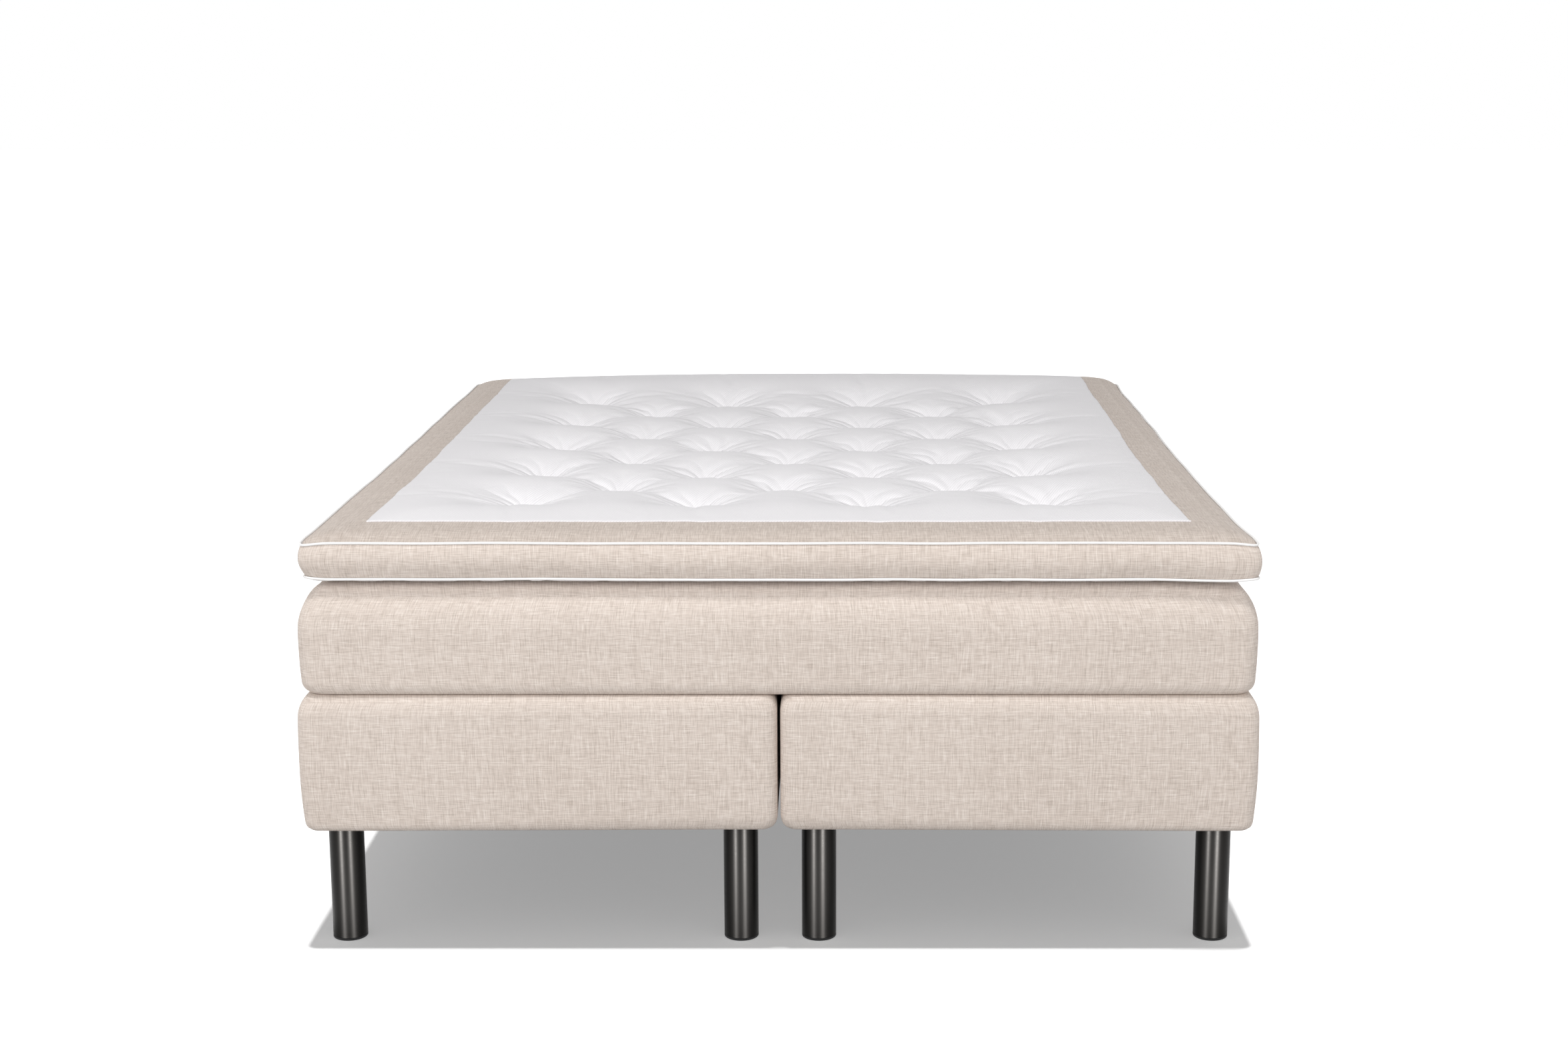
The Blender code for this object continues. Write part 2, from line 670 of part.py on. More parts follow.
def topper_triangles():
    """Triangles over the whole top: (points, faces, how many points are the outline's)."""
    tufts = tuft_places()
    xs = line_places(PANEL_HALF_WIDTH, TUFT_PITCH)
    ys = line_places(PANEL_HALF_LENGTH, TUFT_PITCH)
    outline = topper_outline(0, xs, ys)
    seam = frame_points(PANEL_HALF_WIDTH, PANEL_HALF_LENGTH, xs, ys)
    half_band = BAND_WIDTH / 2
    middle = frame_points(PANEL_HALF_WIDTH + half_band, PANEL_HALF_LENGTH + half_band, xs, ys)
    inside = [(x, y) for x in xs for y in ys]
    for x, y in tufts:
        for i in range(TUFT_RING_POINTS):
            angle = math.tau * (i + 0.5) / TUFT_RING_POINTS
            inside.append((x + TUFT_RING * math.cos(angle), y + TUFT_RING * math.sin(angle)))
    half_step = TUFT_PITCH / 2
    inside += [(x + half_step, y + half_step) for x in xs[:-1] for y in ys[:-1]]
    points = outline + seam + middle + inside
    around = [(i, (i + 1) % len(outline)) for i in range(len(outline))]
    start = len(outline)
    sewn = [(start + i, start + (i + 1) % len(seam)) for i in range(len(seam))]
    vectors = [Vector(point) for point in points]
    made = delaunay_2d_cdt(vectors, around + sewn, [], 0, MERGE_DISTANCE)
    return [tuple(v) for v in made[0]], [list(face) for face in made[2]], len(outline)


def on_panel(points, face):
    middle_x = sum(points[i][0] for i in face) / len(face)
    middle_y = sum(points[i][1] for i in face) / len(face)
    return abs(middle_x) < PANEL_HALF_WIDTH and abs(middle_y) < PANEL_HALF_LENGTH


def off_seam(point, direction):
    """A point on the panel's seam moved half a gap out (1) or in (-1). Other points stay."""
    moved = []
    for value, half in zip(point, (PANEL_HALF_WIDTH, PANEL_HALF_LENGTH)):
        on_side = abs(abs(value) - half) < MERGE_DISTANCE
        moved.append(value + math.copysign(direction * SEAT_GAP / 2, value) if on_side else value)
    return tuple(moved)


def cloth(name, points, faces, direction, finish, parent):
    """A part of the top cut from the triangles, as a sheet of the ticking's thickness."""
    tufts = tuft_places()
    bm = bmesh.new()
    used = {}
    for face in faces:
        for i in face:
            if i not in used:
                x, y = off_seam(points[i], direction)
                used[i] = bm.verts.new((x, y, topper_height(x, y, tufts)))
        bm.faces.new([used[i] for i in face])
    made = bmesh.ops.extrude_face_region(bm, geom=bm.faces[:])
    lower = [item for item in made["geom"] if isinstance(item, bmesh.types.BMVert)]
    bmesh.ops.translate(bm, verts=lower, vec=(0, 0, -TICKING_THICKNESS))
    return solid(name, bm, finish, parent, smooth=True)


def underside_rings(lift, xs, ys):
    """Rings of the topper's lower face, from the rim to the flat, lifted by this much."""
    rings = []
    for step in range(BOXING_STEPS):
        share = step / (BOXING_STEPS - 1)
        height = LOWER_SEAM * (1 - share) ** 2
        rings.append(ring_at(topper_outline(BELLY_WIDTH * share, xs, ys), height + lift))
    return rings


def topper_core(points, faces, outline_count, finish, parent):
    """The filling: its top follows the ticking, and its bottom the underside."""
    tufts = tuft_places()
    under_ticking = TICKING_THICKNESS + SEAT_GAP
    bm = bmesh.new()
    top = [bm.verts.new((x, y, topper_height(x, y, tufts) - under_ticking)) for x, y in points]
    for face in faces:
        bm.faces.new([top[i] for i in face])
    xs = line_places(PANEL_HALF_WIDTH, TUFT_PITCH)
    ys = line_places(PANEL_HALF_LENGTH, TUFT_PITCH)
    ring = top[:outline_count]
    for ring_points in underside_rings(UNDERSIDE_THICKNESS + SEAT_GAP, xs, ys):
        ring = extruded_ring(bm, ring, ring_points)
    bm.faces.new(ring)
    return solid("topper_core", bm, finish, parent)


def boxing_rings():
    """The strip round the edge, from the upper seam to the lower one and back inside."""
    low = LOWER_SEAM + PIPING_RADIUS + SEAT_GAP
    high = UPPER_SEAM - PIPING_RADIUS - SEAT_GAP
    rings = []
    for face in (1, -1):
        steps = range(BOXING_STEPS + 1) if face > 0 else range(BOXING_STEPS, -1, -1)
        for step in steps:
            share = step / BOXING_STEPS
            out = BOXING_BULGE * math.sin(math.pi * share) + face * BOXING_THICKNESS / 2
            outline = rounded_outline(
                (-BED_WIDTH / 2 - out, -BED_LENGTH / 2 - out),
                (BED_WIDTH / 2 + out, BED_LENGTH / 2 + out),
                TOPPER_CORNER + out,
            )
            rings.append(ring_at(outline, high + (low - high) * share))
    return rings


def piping(name, height, finish, parent):
    """A cord covered in white cotton, sewn into the seam at this height."""
    line = bpy.data.curves.new(name, "CURVE")
    line.dimensions = "3D"
    line.bevel_depth = PIPING_RADIUS
    line.bevel_resolution = 1
    line.use_fill_caps = True
    half_width, half_length = BED_WIDTH / 2, BED_LENGTH / 2
    route = rounded_outline((-half_width, -half_length), (half_width, half_length), TOPPER_CORNER)
    spline = line.splines.new("POLY")
    spline.points.add(len(route) - 1)
    for point, (x, y) in zip(spline.points, route):
        point.co = (x, y, height, 1)
    spline.use_cyclic_u = True
    line.materials.append(finish)
    return add_object(name, line, parent)


def topper(finishes, parent):
    points, faces, outline_count = topper_triangles()
    panel_faces = [face for face in faces if on_panel(points, face)]
    band_faces = [face for face in faces if not on_panel(points, face)]
    cloth("topper_tufted_panel", points, panel_faces, -1, finishes["ticking"], parent)
    cloth("topper_border_band", points, band_faces, 1, finishes["linen"], parent)
    topper_core(points, faces, outline_count, finishes["foam"], parent)
    boxing = skinned(boxing_rings(), closed=True)
    solid("topper_boxing", boxing, finishes["linen"], parent, smooth=True)
    lower = underside_rings(0, [], [])
    upper = underside_rings(UNDERSIDE_THICKNESS, [], [])
    solid("topper_underside", skinned(lower[::-1] + upper), finishes["ticking"], parent)
    piping("topper_upper_piping", UPPER_SEAM, finishes["piping_cotton"], parent)
    piping("topper_lower_piping", LOWER_SEAM, finishes["piping_cotton"], parent)


def main():
    clear_scene()
    finishes = {
        "linen": material("linen", (0.72, 0.63, 0.56), 0.95),
        "ticking": material("ticking", (0.83, 0.80, 0.82), 0.9),
        "piping_cotton": material("piping_cotton", (0.93, 0.93, 0.92), 0.85),
        "leg_steel": material("leg_steel", (0.035, 0.034, 0.034), 0.35, 0.8),
        "glide_plastic": material("glide_plastic", (0.012, 0.012, 0.013), 0.5),
        "zinc_steel": material("zinc_steel", (0.62, 0.63, 0.65), 0.35, 1.0),
        "pine": material("pine", (0.62, 0.45, 0.26), 0.7),
        "plywood": material("plywood", (0.55, 0.40, 0.24), 0.75),
        "pocket_cloth": material("pocket_cloth", (0.80, 0.80, 0.79), 0.95),
        "felt": material("felt", (0.25, 0.25, 0.26), 1.0),
        "foam": material("foam", (0.80, 0.76, 0.60), 0.95),
        "dust_cloth": material("dust_cloth", (0.05, 0.05, 0.05), 0.95),
    }
    for word, side in (("left", -1), ("right", 1)):
        body = empty(f"{word}_base", (side * BASE_MIDDLE, 0, BASE_BOTTOM))
        base(word, side, finishes, body)
    mattress(finishes, empty("mattress", (0, 0, MATTRESS_BOTTOM)))
    topper(finishes, empty("topper", (0, 0, TOPPER_BOTTOM)))


main()
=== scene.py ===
# %% [markdown]
# # A box spring bed, dressed for its picture
#
# The bed is 160 x 200 cm: two upholstered spring bases on steel legs, a pocket spring mattress across both, and a
# tufted topper with piped edges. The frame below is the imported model, in metres, with the floor at zero and the
# foot end towards -Y. Everything here goes over that frame, so its sizes are read and never changed.

# %% Load the frame
import json
import math

import bmesh
import bpy
import numpy as np
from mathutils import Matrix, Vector, noise

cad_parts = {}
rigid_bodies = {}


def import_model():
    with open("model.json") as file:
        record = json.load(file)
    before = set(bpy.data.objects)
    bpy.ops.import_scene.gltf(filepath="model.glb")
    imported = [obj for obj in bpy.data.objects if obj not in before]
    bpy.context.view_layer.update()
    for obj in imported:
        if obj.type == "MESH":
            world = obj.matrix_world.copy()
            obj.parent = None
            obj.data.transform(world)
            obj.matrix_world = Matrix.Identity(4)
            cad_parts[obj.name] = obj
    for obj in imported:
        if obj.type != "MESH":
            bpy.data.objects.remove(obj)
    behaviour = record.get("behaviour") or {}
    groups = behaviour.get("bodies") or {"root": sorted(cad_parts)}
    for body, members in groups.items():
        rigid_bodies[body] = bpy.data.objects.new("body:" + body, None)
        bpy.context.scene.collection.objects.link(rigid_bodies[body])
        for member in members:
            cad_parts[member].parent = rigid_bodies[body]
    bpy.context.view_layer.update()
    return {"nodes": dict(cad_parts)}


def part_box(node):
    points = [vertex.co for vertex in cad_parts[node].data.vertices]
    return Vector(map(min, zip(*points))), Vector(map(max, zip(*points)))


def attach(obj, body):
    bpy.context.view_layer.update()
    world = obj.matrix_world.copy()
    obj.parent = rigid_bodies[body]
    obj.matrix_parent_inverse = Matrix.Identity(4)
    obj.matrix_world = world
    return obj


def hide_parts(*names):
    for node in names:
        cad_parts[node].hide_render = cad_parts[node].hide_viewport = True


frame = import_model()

nodes = frame["nodes"]

# %% [markdown]
# ## The camera
#
# A product photographer stands almost two bed lengths from its foot end, at eye height, and tilts the camera down.
# A camera could be placed by eye until the picture looks right. Here the leg ends, the straight seams and the lattice
# of the tufts gave its place, tilt and lens by arithmetic, because a wrong lens bends every proportion.

# %% Camera
CAMERA_PLACE = (0.095, -4.746, 1.487)
CAMERA_TILT = math.radians(11.166)
CAMERA_LENS = 52.57
CAMERA_SHIFT = -0.0322

bpy.ops.object.select_all(action="DESELECT")
bpy.ops.object.camera_add(location=CAMERA_PLACE, rotation=(math.pi / 2 - CAMERA_TILT, 0, 0))
camera = bpy.context.object
camera.name = "camera"
camera.data.lens = CAMERA_LENS
camera.data.sensor_width = 36
camera.data.shift_x = CAMERA_SHIFT
bpy.context.scene.camera = camera
print("camera:", camera.data.lens, "mm at", CAMERA_PLACE)

# %% [markdown]
# ## Colours and nodes
#
# A colour picked from a screen is in sRGB, but a shader works in linear light, so one function turns the one into
# the other. A material is a tree of nodes. One function adds any node with its settings and links, which keeps
# each material down to the lines that describe it.

# %% Helpers for materials
def hex_color(text):
    """An sRGB hex colour as linear RGBA."""
    channels = [int(text[i:i + 2], 16) / 255 for i in (1, 3, 5)]
    linear = [c / 12.92 if c <= 0.04045 else ((c + 0.055) / 1.055) ** 2.4 for c in channels]
    return (*linear, 1.0)


def add_node(tree, kind, inputs=None, stops=(), **settings):
    """Adds a node with its settings and a ramp's (position, hex colour) stops, and sets or links its inputs."""
    made = tree.nodes.new("ShaderNode" + kind)
    for name, value in settings.items():
        setattr(made, name, value)
    for name, value in (inputs or {}).items():
        socket = made.inputs[name]
        if isinstance(value, bpy.types.NodeSocket):
            tree.links.new(value, socket)
        else:
            socket.default_value = value
    elements = made.color_ramp.elements if stops else ()
    while len(elements) < len(stops):
        elements.new(0.5)
    for element, (position, color) in zip(elements, stops):
        element.position = position
        element.color = hex_color(color)
    return made


def new_material(name, base, roughness, sockets=None):
    """A Principled material with its plain values set on the shader's own sockets."""
    made = bpy.data.materials.new(name)
    made.use_nodes = True
    shader = made.node_tree.nodes["Principled BSDF"]
    shader.inputs["Base Color"].default_value = hex_color(base)
    shader.inputs["Roughness"].default_value = roughness
    for socket, value in (sockets or {}).items():
        shader.inputs[socket].default_value = value
    return made, made.node_tree, shader


def dress(tree, shader, shade, stops, height, distance, strength=1.0):
    """Gives a shader its colours by a shade, if it has stops, and a relief this many metres high."""
    if stops:
        color = add_node(tree, "ValToRGB", {"Fac": shade}, stops)
        tree.links.new(color.outputs["Color"], shader.inputs["Base Color"])
    relief = add_node(tree, "Bump", {"Height": height, "Distance": distance, "Strength": strength})
    tree.links.new(relief.outputs["Normal"], shader.inputs["Normal"])


print("white is", [round(c, 3) for c in hex_color("#ffffff")])

# %% [markdown]
# ## Linen
#
# The covers are a linen-look weave of beige and nearly white yarn. Real flax yarn is thick in one place and thin in
# the next, and these slubs show as short streaks along both threads, about 30 mm long and one or two threads wide.
# An image of cloth could do this, but it repeats, and noise stretched along the threads shows square blocks. So each
# thread is counted, a white noise gives that thread its own shade and its own start, and a one-way noise draws slubs
# along it. Both sets of threads follow the piece's own UV map, which is laid in metres. Linen is matt, with a little
# sheen from loose fibres.

# %% Linen material
SLUB_LENGTH = 0.028
# Real yarn is about 0.6 mm thick: it is drawn a third thicker, to show in a picture of the whole bed
YARN = 0.0008
CLOUD = 0.25
# How much of a thread's shade is its own, and how much changes along it
OWN_SHADE, SLUB_SHADE, CLOUD_SHADE = 0.11, 0.36, 0.06

SOFT = {"Specular IOR Level": 0.25, "Sheen Weight": 0.1, "Sheen Roughness": 0.5}


def threads_across(tree, across, along):
    """The shade, about 0 to 1, of the threads that are counted one way and run the other way."""
    count = add_node(tree, "Math", {0: across, 1: YARN}, operation="DIVIDE")
    thread = add_node(tree, "Math", {0: count.outputs[0]}, operation="FLOOR")
    own = add_node(tree, "TexWhiteNoise", {"W": thread.outputs[0]}, noise_dimensions="1D").outputs["Value"]
    run = add_node(tree, "Math", {0: along, 1: SLUB_LENGTH}, operation="DIVIDE")
    start = add_node(tree, "Math", {0: own, 1: 700.0, 2: run.outputs[0]}, operation="MULTIPLY_ADD")
    slub = add_node(tree, "TexNoise", {"W": start.outputs[0], "Scale": 1.0, "Detail": 1.0}, noise_dimensions="1D")
    shade = add_node(tree, "Math", {0: own, 1: OWN_SHADE}, operation="MULTIPLY")
    return add_node(tree, "Math", {0: slub.outputs["Fac"], 1: SLUB_SHADE, 2: shade.outputs[0]},
                    operation="MULTIPLY_ADD").outputs[0]


def linen_weave(name, stops):
    """Linen in shades from its darkest slub to its lightest."""
    made, tree, shader = new_material(name, stops[2][1], 0.92, SOFT)
    weave = add_node(tree, "UVMap", uv_map="weave").outputs["UV"]
    way = add_node(tree, "SeparateXYZ", {"Vector": weave})
    warp = threads_across(tree, way.outputs["X"], way.outputs["Y"])
    weft = threads_across(tree, way.outputs["Y"], way.outputs["X"])
    threads = add_node(tree, "Math", {0: warp, 1: weft}, operation="ADD")
    cloud = add_node(tree, "TexNoise", {"Vector": weave, "Scale": 1 / CLOUD, "Detail": 2.0})
    mixed = add_node(tree, "Math", {0: cloud.outputs["Fac"], 1: CLOUD_SHADE, 2: threads.outputs[0]},
                     operation="MULTIPLY_ADD")
    middle_shade = OWN_SHADE + SLUB_SHADE + CLOUD_SHADE / 2
    level = add_node(tree, "Math", {0: mixed.outputs[0], 1: middle_shade - 0.5}, operation="SUBTRACT")
    dress(tree, shader, level.outputs[0], stops, threads.outputs[0], 0.0005, 0.4)
    return made


linen = linen_weave("woven_linen", ((0.26, "#b9aba0"), (0.42, "#cfc2b8"), (0.52, "#dccfc5"), (0.72, "#f0e7df")))
# Painted shade: the border is the same linen with its colours a shade darker, because it lies flat and gets less light
# than the upright sides
shaded_border_linen = linen_weave("woven_linen_border", ((0.26, "#aea196"), (0.42, "#c4b7ad"), (0.52, "#d1c4ba"),
                                                  (0.72, "#e6dcd3")))
print("linen yarn", YARN * 1000, "mm")

# %% [markdown]
# ## Ticking
#
# The topper's panel is woven ticking, off-white, with a fine twill line that runs down to the right.
# It is soft and matt. Fine twill shows as a change in slope far more than in colour, so the wave goes to the bump
# and only a trace of it to the colour.
#
# Where a tuft gathers the cloth, a bundle of fine folds runs from it towards each neighbour: it sets off straight
# back and bends aside, and each fold is a round ridge between two sharp creases. They are finer than the mesh, so
# they are drawn in the bump. The tufts lie on a square lattice that is turned by 45 degrees. Two sums of x and y
# give every point its cell in that lattice, and what is left over is its place around the tuft.

# %% Ticking material
TUFT_PITCH = 0.158
TWILL_PITCH = 0.0045
# Blender's wave has a crest every 0.314 m at scale 1
WAVE_AT_SCALE_ONE = math.tau / 20
TICKING_BUMP = 0.0005
FOLDS, FOLD_BEND, FOLD_REACH, FOLD_HEIGHT = 8.0, 0.60, 0.85, 0.011
# The lattice reaches this many pitches across and along from its middle
LATTICE = (3.5, 4.5)


def folds_at_tufts(tree, weave):
    """The height, in metres, of the folds round the tufts."""
    way = add_node(tree, "SeparateXYZ", {"Vector": weave})
    uneven = add_node(tree, "TexNoise", {"Vector": weave, "Scale": 11.0, "Detail": 1.0})
    found = {"x": way.outputs["X"], "y": way.outputs["Y"], "uneven": uneven.outputs["Fac"]}
    steps = (
        ("sum", "ADD", ("x", "y")),
        ("difference", "SUBTRACT", ("x", "y")),
        ("s", "MULTIPLY_ADD", ("sum", 0.5 / TUFT_PITCH, 0.5)),
        ("t", "MULTIPLY_ADD", ("difference", 0.5 / TUFT_PITCH, 0.5)),
        ("s cell", "ROUND", ("s",)),
        ("t cell", "ROUND", ("t",)),
        ("s left", "SUBTRACT", ("s", "s cell")),
        ("t left", "SUBTRACT", ("t", "t cell")),
        ("across", "ADD", ("s left", "t left")),
        ("back", "SUBTRACT", ("s left", "t left")),
        ("aside", "ABSOLUTE", ("across",)),
        ("aside squared", "MULTIPLY", ("aside", "aside")),
        ("distance squared", "MULTIPLY_ADD", ("back", "back", "aside squared")),
        ("distance", "SQRT", ("distance squared",)),
        ("angle", "ARCTAN2", ("back", "aside")),
        ("bent", "MULTIPLY_ADD", ("distance", FOLD_BEND, "angle")),
        ("shaken", "MULTIPLY_ADD", ("uneven", 0.7, "bent")),
        ("turned", "MULTIPLY_ADD", ("s cell", 0.37, "shaken")),
        ("phase", "MULTIPLY", ("turned", FOLDS)),
        ("wave", "SINE", ("phase",)),
        ("ridge", "ABSOLUTE", ("wave",)),
        ("fading", "MULTIPLY_ADD", ("distance", -1 / FOLD_REACH, 1.0)),
        ("near", "MAXIMUM", ("fading", 0.0)),
        ("soft", "POWER", ("near", 1.4)),
        ("reach", "MULTIPLY", ("soft", "distance")),
        ("twice", "MULTIPLY", ("angle", 2.0)),
        ("slant", "SINE", ("twice",)),
        ("diagonal", "ABSOLUTE", ("slant",)),
        ("bundle", "MULTIPLY_ADD", ("diagonal", 0.75, 0.25)),
        ("column", "ADD", ("s cell", "t cell")),
        ("from middle", "SUBTRACT", ("column", 1.0)),
        ("columns off", "ABSOLUTE", ("from middle",)),
        ("row", "SUBTRACT", ("s cell", "t cell")),
        ("rows off", "ABSOLUTE", ("row",)),
        ("in columns", "LESS_THAN", ("columns off", LATTICE[0])),
        ("in rows", "LESS_THAN", ("rows off", LATTICE[1])),
        ("is tuft", "MULTIPLY", ("in columns", "in rows")),
        ("ridges", "MULTIPLY", ("ridge", "reach")),
        ("bundled", "MULTIPLY", ("ridges", "bundle")),
        ("shown", "MULTIPLY", ("bundled", "is tuft")),
        ("height", "MULTIPLY", ("shown", FOLD_HEIGHT)),
    )
    for result, operation, values in steps:
        sockets = {number: found.get(value, value) for number, value in enumerate(values)}
        found[result] = add_node(tree, "Math", sockets, operation=operation).outputs[0]
    return found["height"]


ticking, tree, shader = new_material("twill_ticking", "#f7f5f7", 0.88, SOFT)
weave = add_node(tree, "UVMap", uv_map="weave").outputs["UV"]
turned = add_node(tree, "Mapping", {"Vector": weave, "Rotation": (0, 0, math.radians(-62))})
twill = add_node(tree, "TexWave", {"Vector": turned.outputs["Vector"], "Scale": WAVE_AT_SCALE_ONE / TWILL_PITCH,
                                   "Distortion": 0.4, "Detail": 1.0}, bands_direction="Y")
fibre = add_node(tree, "TexNoise", {"Vector": weave, "Scale": 900.0, "Detail": 2.0})
cloth_height = add_node(tree, "Math", {0: fibre.outputs["Fac"], 1: 0.4, 2: twill.outputs["Fac"]},
                        operation="MULTIPLY_ADD")
fine = add_node(tree, "Math", {0: cloth_height.outputs[0], 1: 0.8}, operation="MULTIPLY")
height = add_node(tree, "Math", {0: folds_at_tufts(tree, weave), 1: 1 / TICKING_BUMP, 2: fine.outputs[0]},
                  operation="MULTIPLY_ADD")
dress(tree, shader, twill.outputs["Fac"], ((0.0, "#f1eff1"), (0.6, "#fbf9fb")), height.outputs[0], TICKING_BUMP)
print("twill line every", TWILL_PITCH * 1000, "mm,", len(tree.nodes), "nodes")

# %% [markdown]
# ## Piping cotton
#
# The piping is a cord in a bias strip of bright white cotton, the whitest thing on the bed. A fine noise on object
# coordinates is enough weave for something 4 mm thick.

# %% Cotton material
def textured(name, base, roughness, sockets, kind, settings, stops, height, strength, stretch=None):
    """A material whose relief, and colour if it has stops, follow one texture on the object."""
    made, tree, shader = new_material(name, base, roughness, sockets)
    place = add_node(tree, "TexCoord").outputs["Object"]
    if stretch:
        place = add_node(tree, "Mapping", {"Vector": place, "Scale": stretch}).outputs["Vector"]
    texture = add_node(tree, kind, {"Vector": place, **settings})
    value = texture.outputs["Distance" if kind == "TexVoronoi" else "Fac"]
    dress(tree, shader, value, stops, value, height, strength)
    return made


cotton = textured("piping_cotton", "#fbfaf9", 0.85, SOFT, "TexNoise", {"Scale": 700.0, "Detail": 2.0},
                  ((0.3, "#f6f4f2"), (0.7, "#fefefe")), 0.0003, 0.5)
print("cotton:", cotton.name)

# %% [markdown]
# ## Leg steel and glide plastic
#
# The legs are steel tube plated in black nickel and brushed round, which leaves it satin: a lamp shows in it as a
# soft upright line. The brushing is drawn as fine rings of roughness. The glides are moulded black plastic, a
# little less matt than rubber, with the faint grain of a spark-eroded mould.

# %% Leg materials
FINE_NOISE = {"Scale": 1.0, "Detail": 3.0}
METAL = {"Metallic": 1.0}


def vary_roughness(material, spread):
    """Lets the roughness of a material follow its texture, over a spread of MapRange inputs."""
    tree = material.node_tree
    texture = next(node for node in tree.nodes if node.type == "TEX_NOISE")
    rough = add_node(tree, "MapRange", {"Value": texture.outputs["Fac"], **spread})
    tree.links.new(rough.outputs[0], tree.nodes["Principled BSDF"].inputs["Roughness"])


leg_steel = textured("black_nickel_steel", "#282726", 0.45, {**METAL, "Anisotropic": 0.8, "Anisotropic Rotation": 0.25},
                     "TexNoise", FINE_NOISE, None, 0.00005, 0.3, (30, 30, 1500))
vary_roughness(leg_steel, {"From Min": 0.3, "From Max": 0.7, "To Min": 0.42, "To Max": 0.50})
glide_plastic = textured("moulded_black_plastic", "#131314", 0.5, None, "TexNoise", {"Scale": 2500.0, "Detail": 1.0},
                         None, 0.00005, 0.4)
print("legs:", leg_steel.name, glide_plastic.name)

# %% [markdown]
# ## A soft box from a cube
#
# A base and a mattress are padded boxes: straight along their length, but with edges that turn over in a curve
# wider than any bevel would give, and corners that are tighter. A cube is cut into rows that lie close together
# where it will bend and far apart where it is flat. Then each point is moved: its distance from an edge becomes an
# angle on the curve. The UV map is laid before that, while a metre of box is still a metre of cloth.

# %% Helpers for meshes
def read(items, name, wide=3, kind=float):
    """One vector, or one number, of every item."""
    flat = np.empty(wide * len(items), dtype=kind)
    items.foreach_get(name, flat)
    return flat.reshape(-1, wide) if wide > 1 else flat


def get_points(piece):
    return read(piece.data.vertices, "co")


def get_normals(piece):
    return read(piece.data.vertices, "normal")


def set_points(piece, points):
    piece.data.vertices.foreach_set("co", np.ascontiguousarray(points, dtype=float).ravel())
    piece.data.update()


def box_of(node):
    """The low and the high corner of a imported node."""
    return [Vector(corner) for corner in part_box(node)]


def deselect():
    bpy.ops.object.select_all(action="DESELECT")


def only(piece):
    """Selects one object alone and makes it the active one."""
    deselect()
    piece.select_set(True)
    bpy.context.view_layer.objects.active = piece


def started(name, primitive, **settings):
    """A new primitive with its place in its mesh."""
    deselect()
    primitive(**settings)
    bpy.ops.object.transform_apply(location=True, rotation=True, scale=True)
    return named(bpy.context.object, name)


def duplicated(piece, name):
    only(piece)
    bpy.ops.object.duplicate()
    return named(bpy.context.object, name)


def edit(piece):
    only(piece)
    bpy.ops.object.mode_set(mode="EDIT")


def leave_edit():
    bpy.ops.object.mode_set(mode="OBJECT")


def pick(piece, kind, test):
    """In edit mode, selects just the edges or faces that pass a test."""
    mesh = bmesh.from_edit_mesh(piece.data)
    bpy.ops.mesh.select_all(action="DESELECT")
    for item in getattr(mesh, kind):
        if test(item):
            item.select_set(True)
    bmesh.update_edit_mesh(piece.data)


def cut_away(piece, test):
    """In edit mode, deletes the faces that pass a test."""
    pick(piece, "faces", test)
    bpy.ops.mesh.delete(type="FACE")


def open_bottom(piece, middle, inside):
    """In edit mode, opens the underside of a box this far out from its middle."""
    cut_away(piece, lambda f: f.normal.z < -0.99 and all(
        abs(f.calc_center_median()[axis] - middle[axis]) < inside[axis] for axis in (0, 1)))


def named(piece, name):
    piece.name = name
    piece.data.name = name
    return piece


def lay_weave(piece):
    """Lays a UV map in metres, seen square on from each side of a box."""
    mesh = piece.data
    while mesh.uv_layers:
        mesh.uv_layers.remove(mesh.uv_layers[0])
    layer = mesh.uv_layers.new(name="weave")
    facing = np.abs(read(mesh.polygons, "normal")).argmax(axis=1)
    facing = np.repeat(facing, read(mesh.polygons, "loop_total", 1, int))
    at = get_points(piece)[read(mesh.loops, "vertex_index", 1, int)]
    across = np.where(facing == 0, at[:, 1], at[:, 0])
    up = np.where(facing == 2, at[:, 1], at[:, 2])
    layer.data.foreach_set("uv", np.stack((across, up), axis=1).ravel())


def cut_cube(name, stations):
    """A cube primitive cut across each axis, with its rows of points at these stations."""
    piece = started(name, bpy.ops.mesh.primitive_cube_add, size=1, location=(0.5, 0.5, 0.5))
    edit(piece)
    for axis, rows in enumerate(stations):
        pick(piece, "edges", lambda e: abs(e.verts[0].co[axis] - e.verts[1].co[axis]) > 0.5)
        bpy.ops.mesh.subdivide(number_cuts=len(rows) - 2)
    leave_edit()
    set_points(piece, at_stations(get_points(piece), stations))
    lay_weave(piece)
    return piece


def at_stations(points, stations):
    """Moves rows that are evenly spread from 0 to 1 to these stations."""
    for axis, rows in enumerate(stations):
        points[:, axis] = np.asarray(rows)[np.rint(points[:, axis] * (len(rows) - 1)).astype(int)]
    return points


def cut_grid(name, stations):
    """A grid primitive with its rows of points at these stations, and its points."""
    columns, rows = (len(way) - 1 for way in stations)
    piece = started(name, bpy.ops.mesh.primitive_grid_add, x_subdivisions=columns, y_subdivisions=rows, size=2)
    points = get_points(piece)
    points[:, :2] = at_stations((points[:, :2] + 1) / 2, stations)
    set_points(piece, points)
    lay_weave(piece)
    return piece, points


def rows_between(low, high, edge, fine, coarse):
    """Stations from low to high: fine steps within edge of each end, and coarse ones between."""
    near = np.linspace(0, edge, max(2, round(edge / fine) + 1))
    between = np.linspace(low + edge, high - edge, max(2, round((high - low - 2 * edge) / coarse) + 1))
    return list(low + near[:-1]) + list(between) + list(high - near[:-1][::-1])


def fade(distance, reach):
    """Falls from 1 at no distance to 0 at this reach."""
    return np.clip(1 - distance / reach, 0, 1)


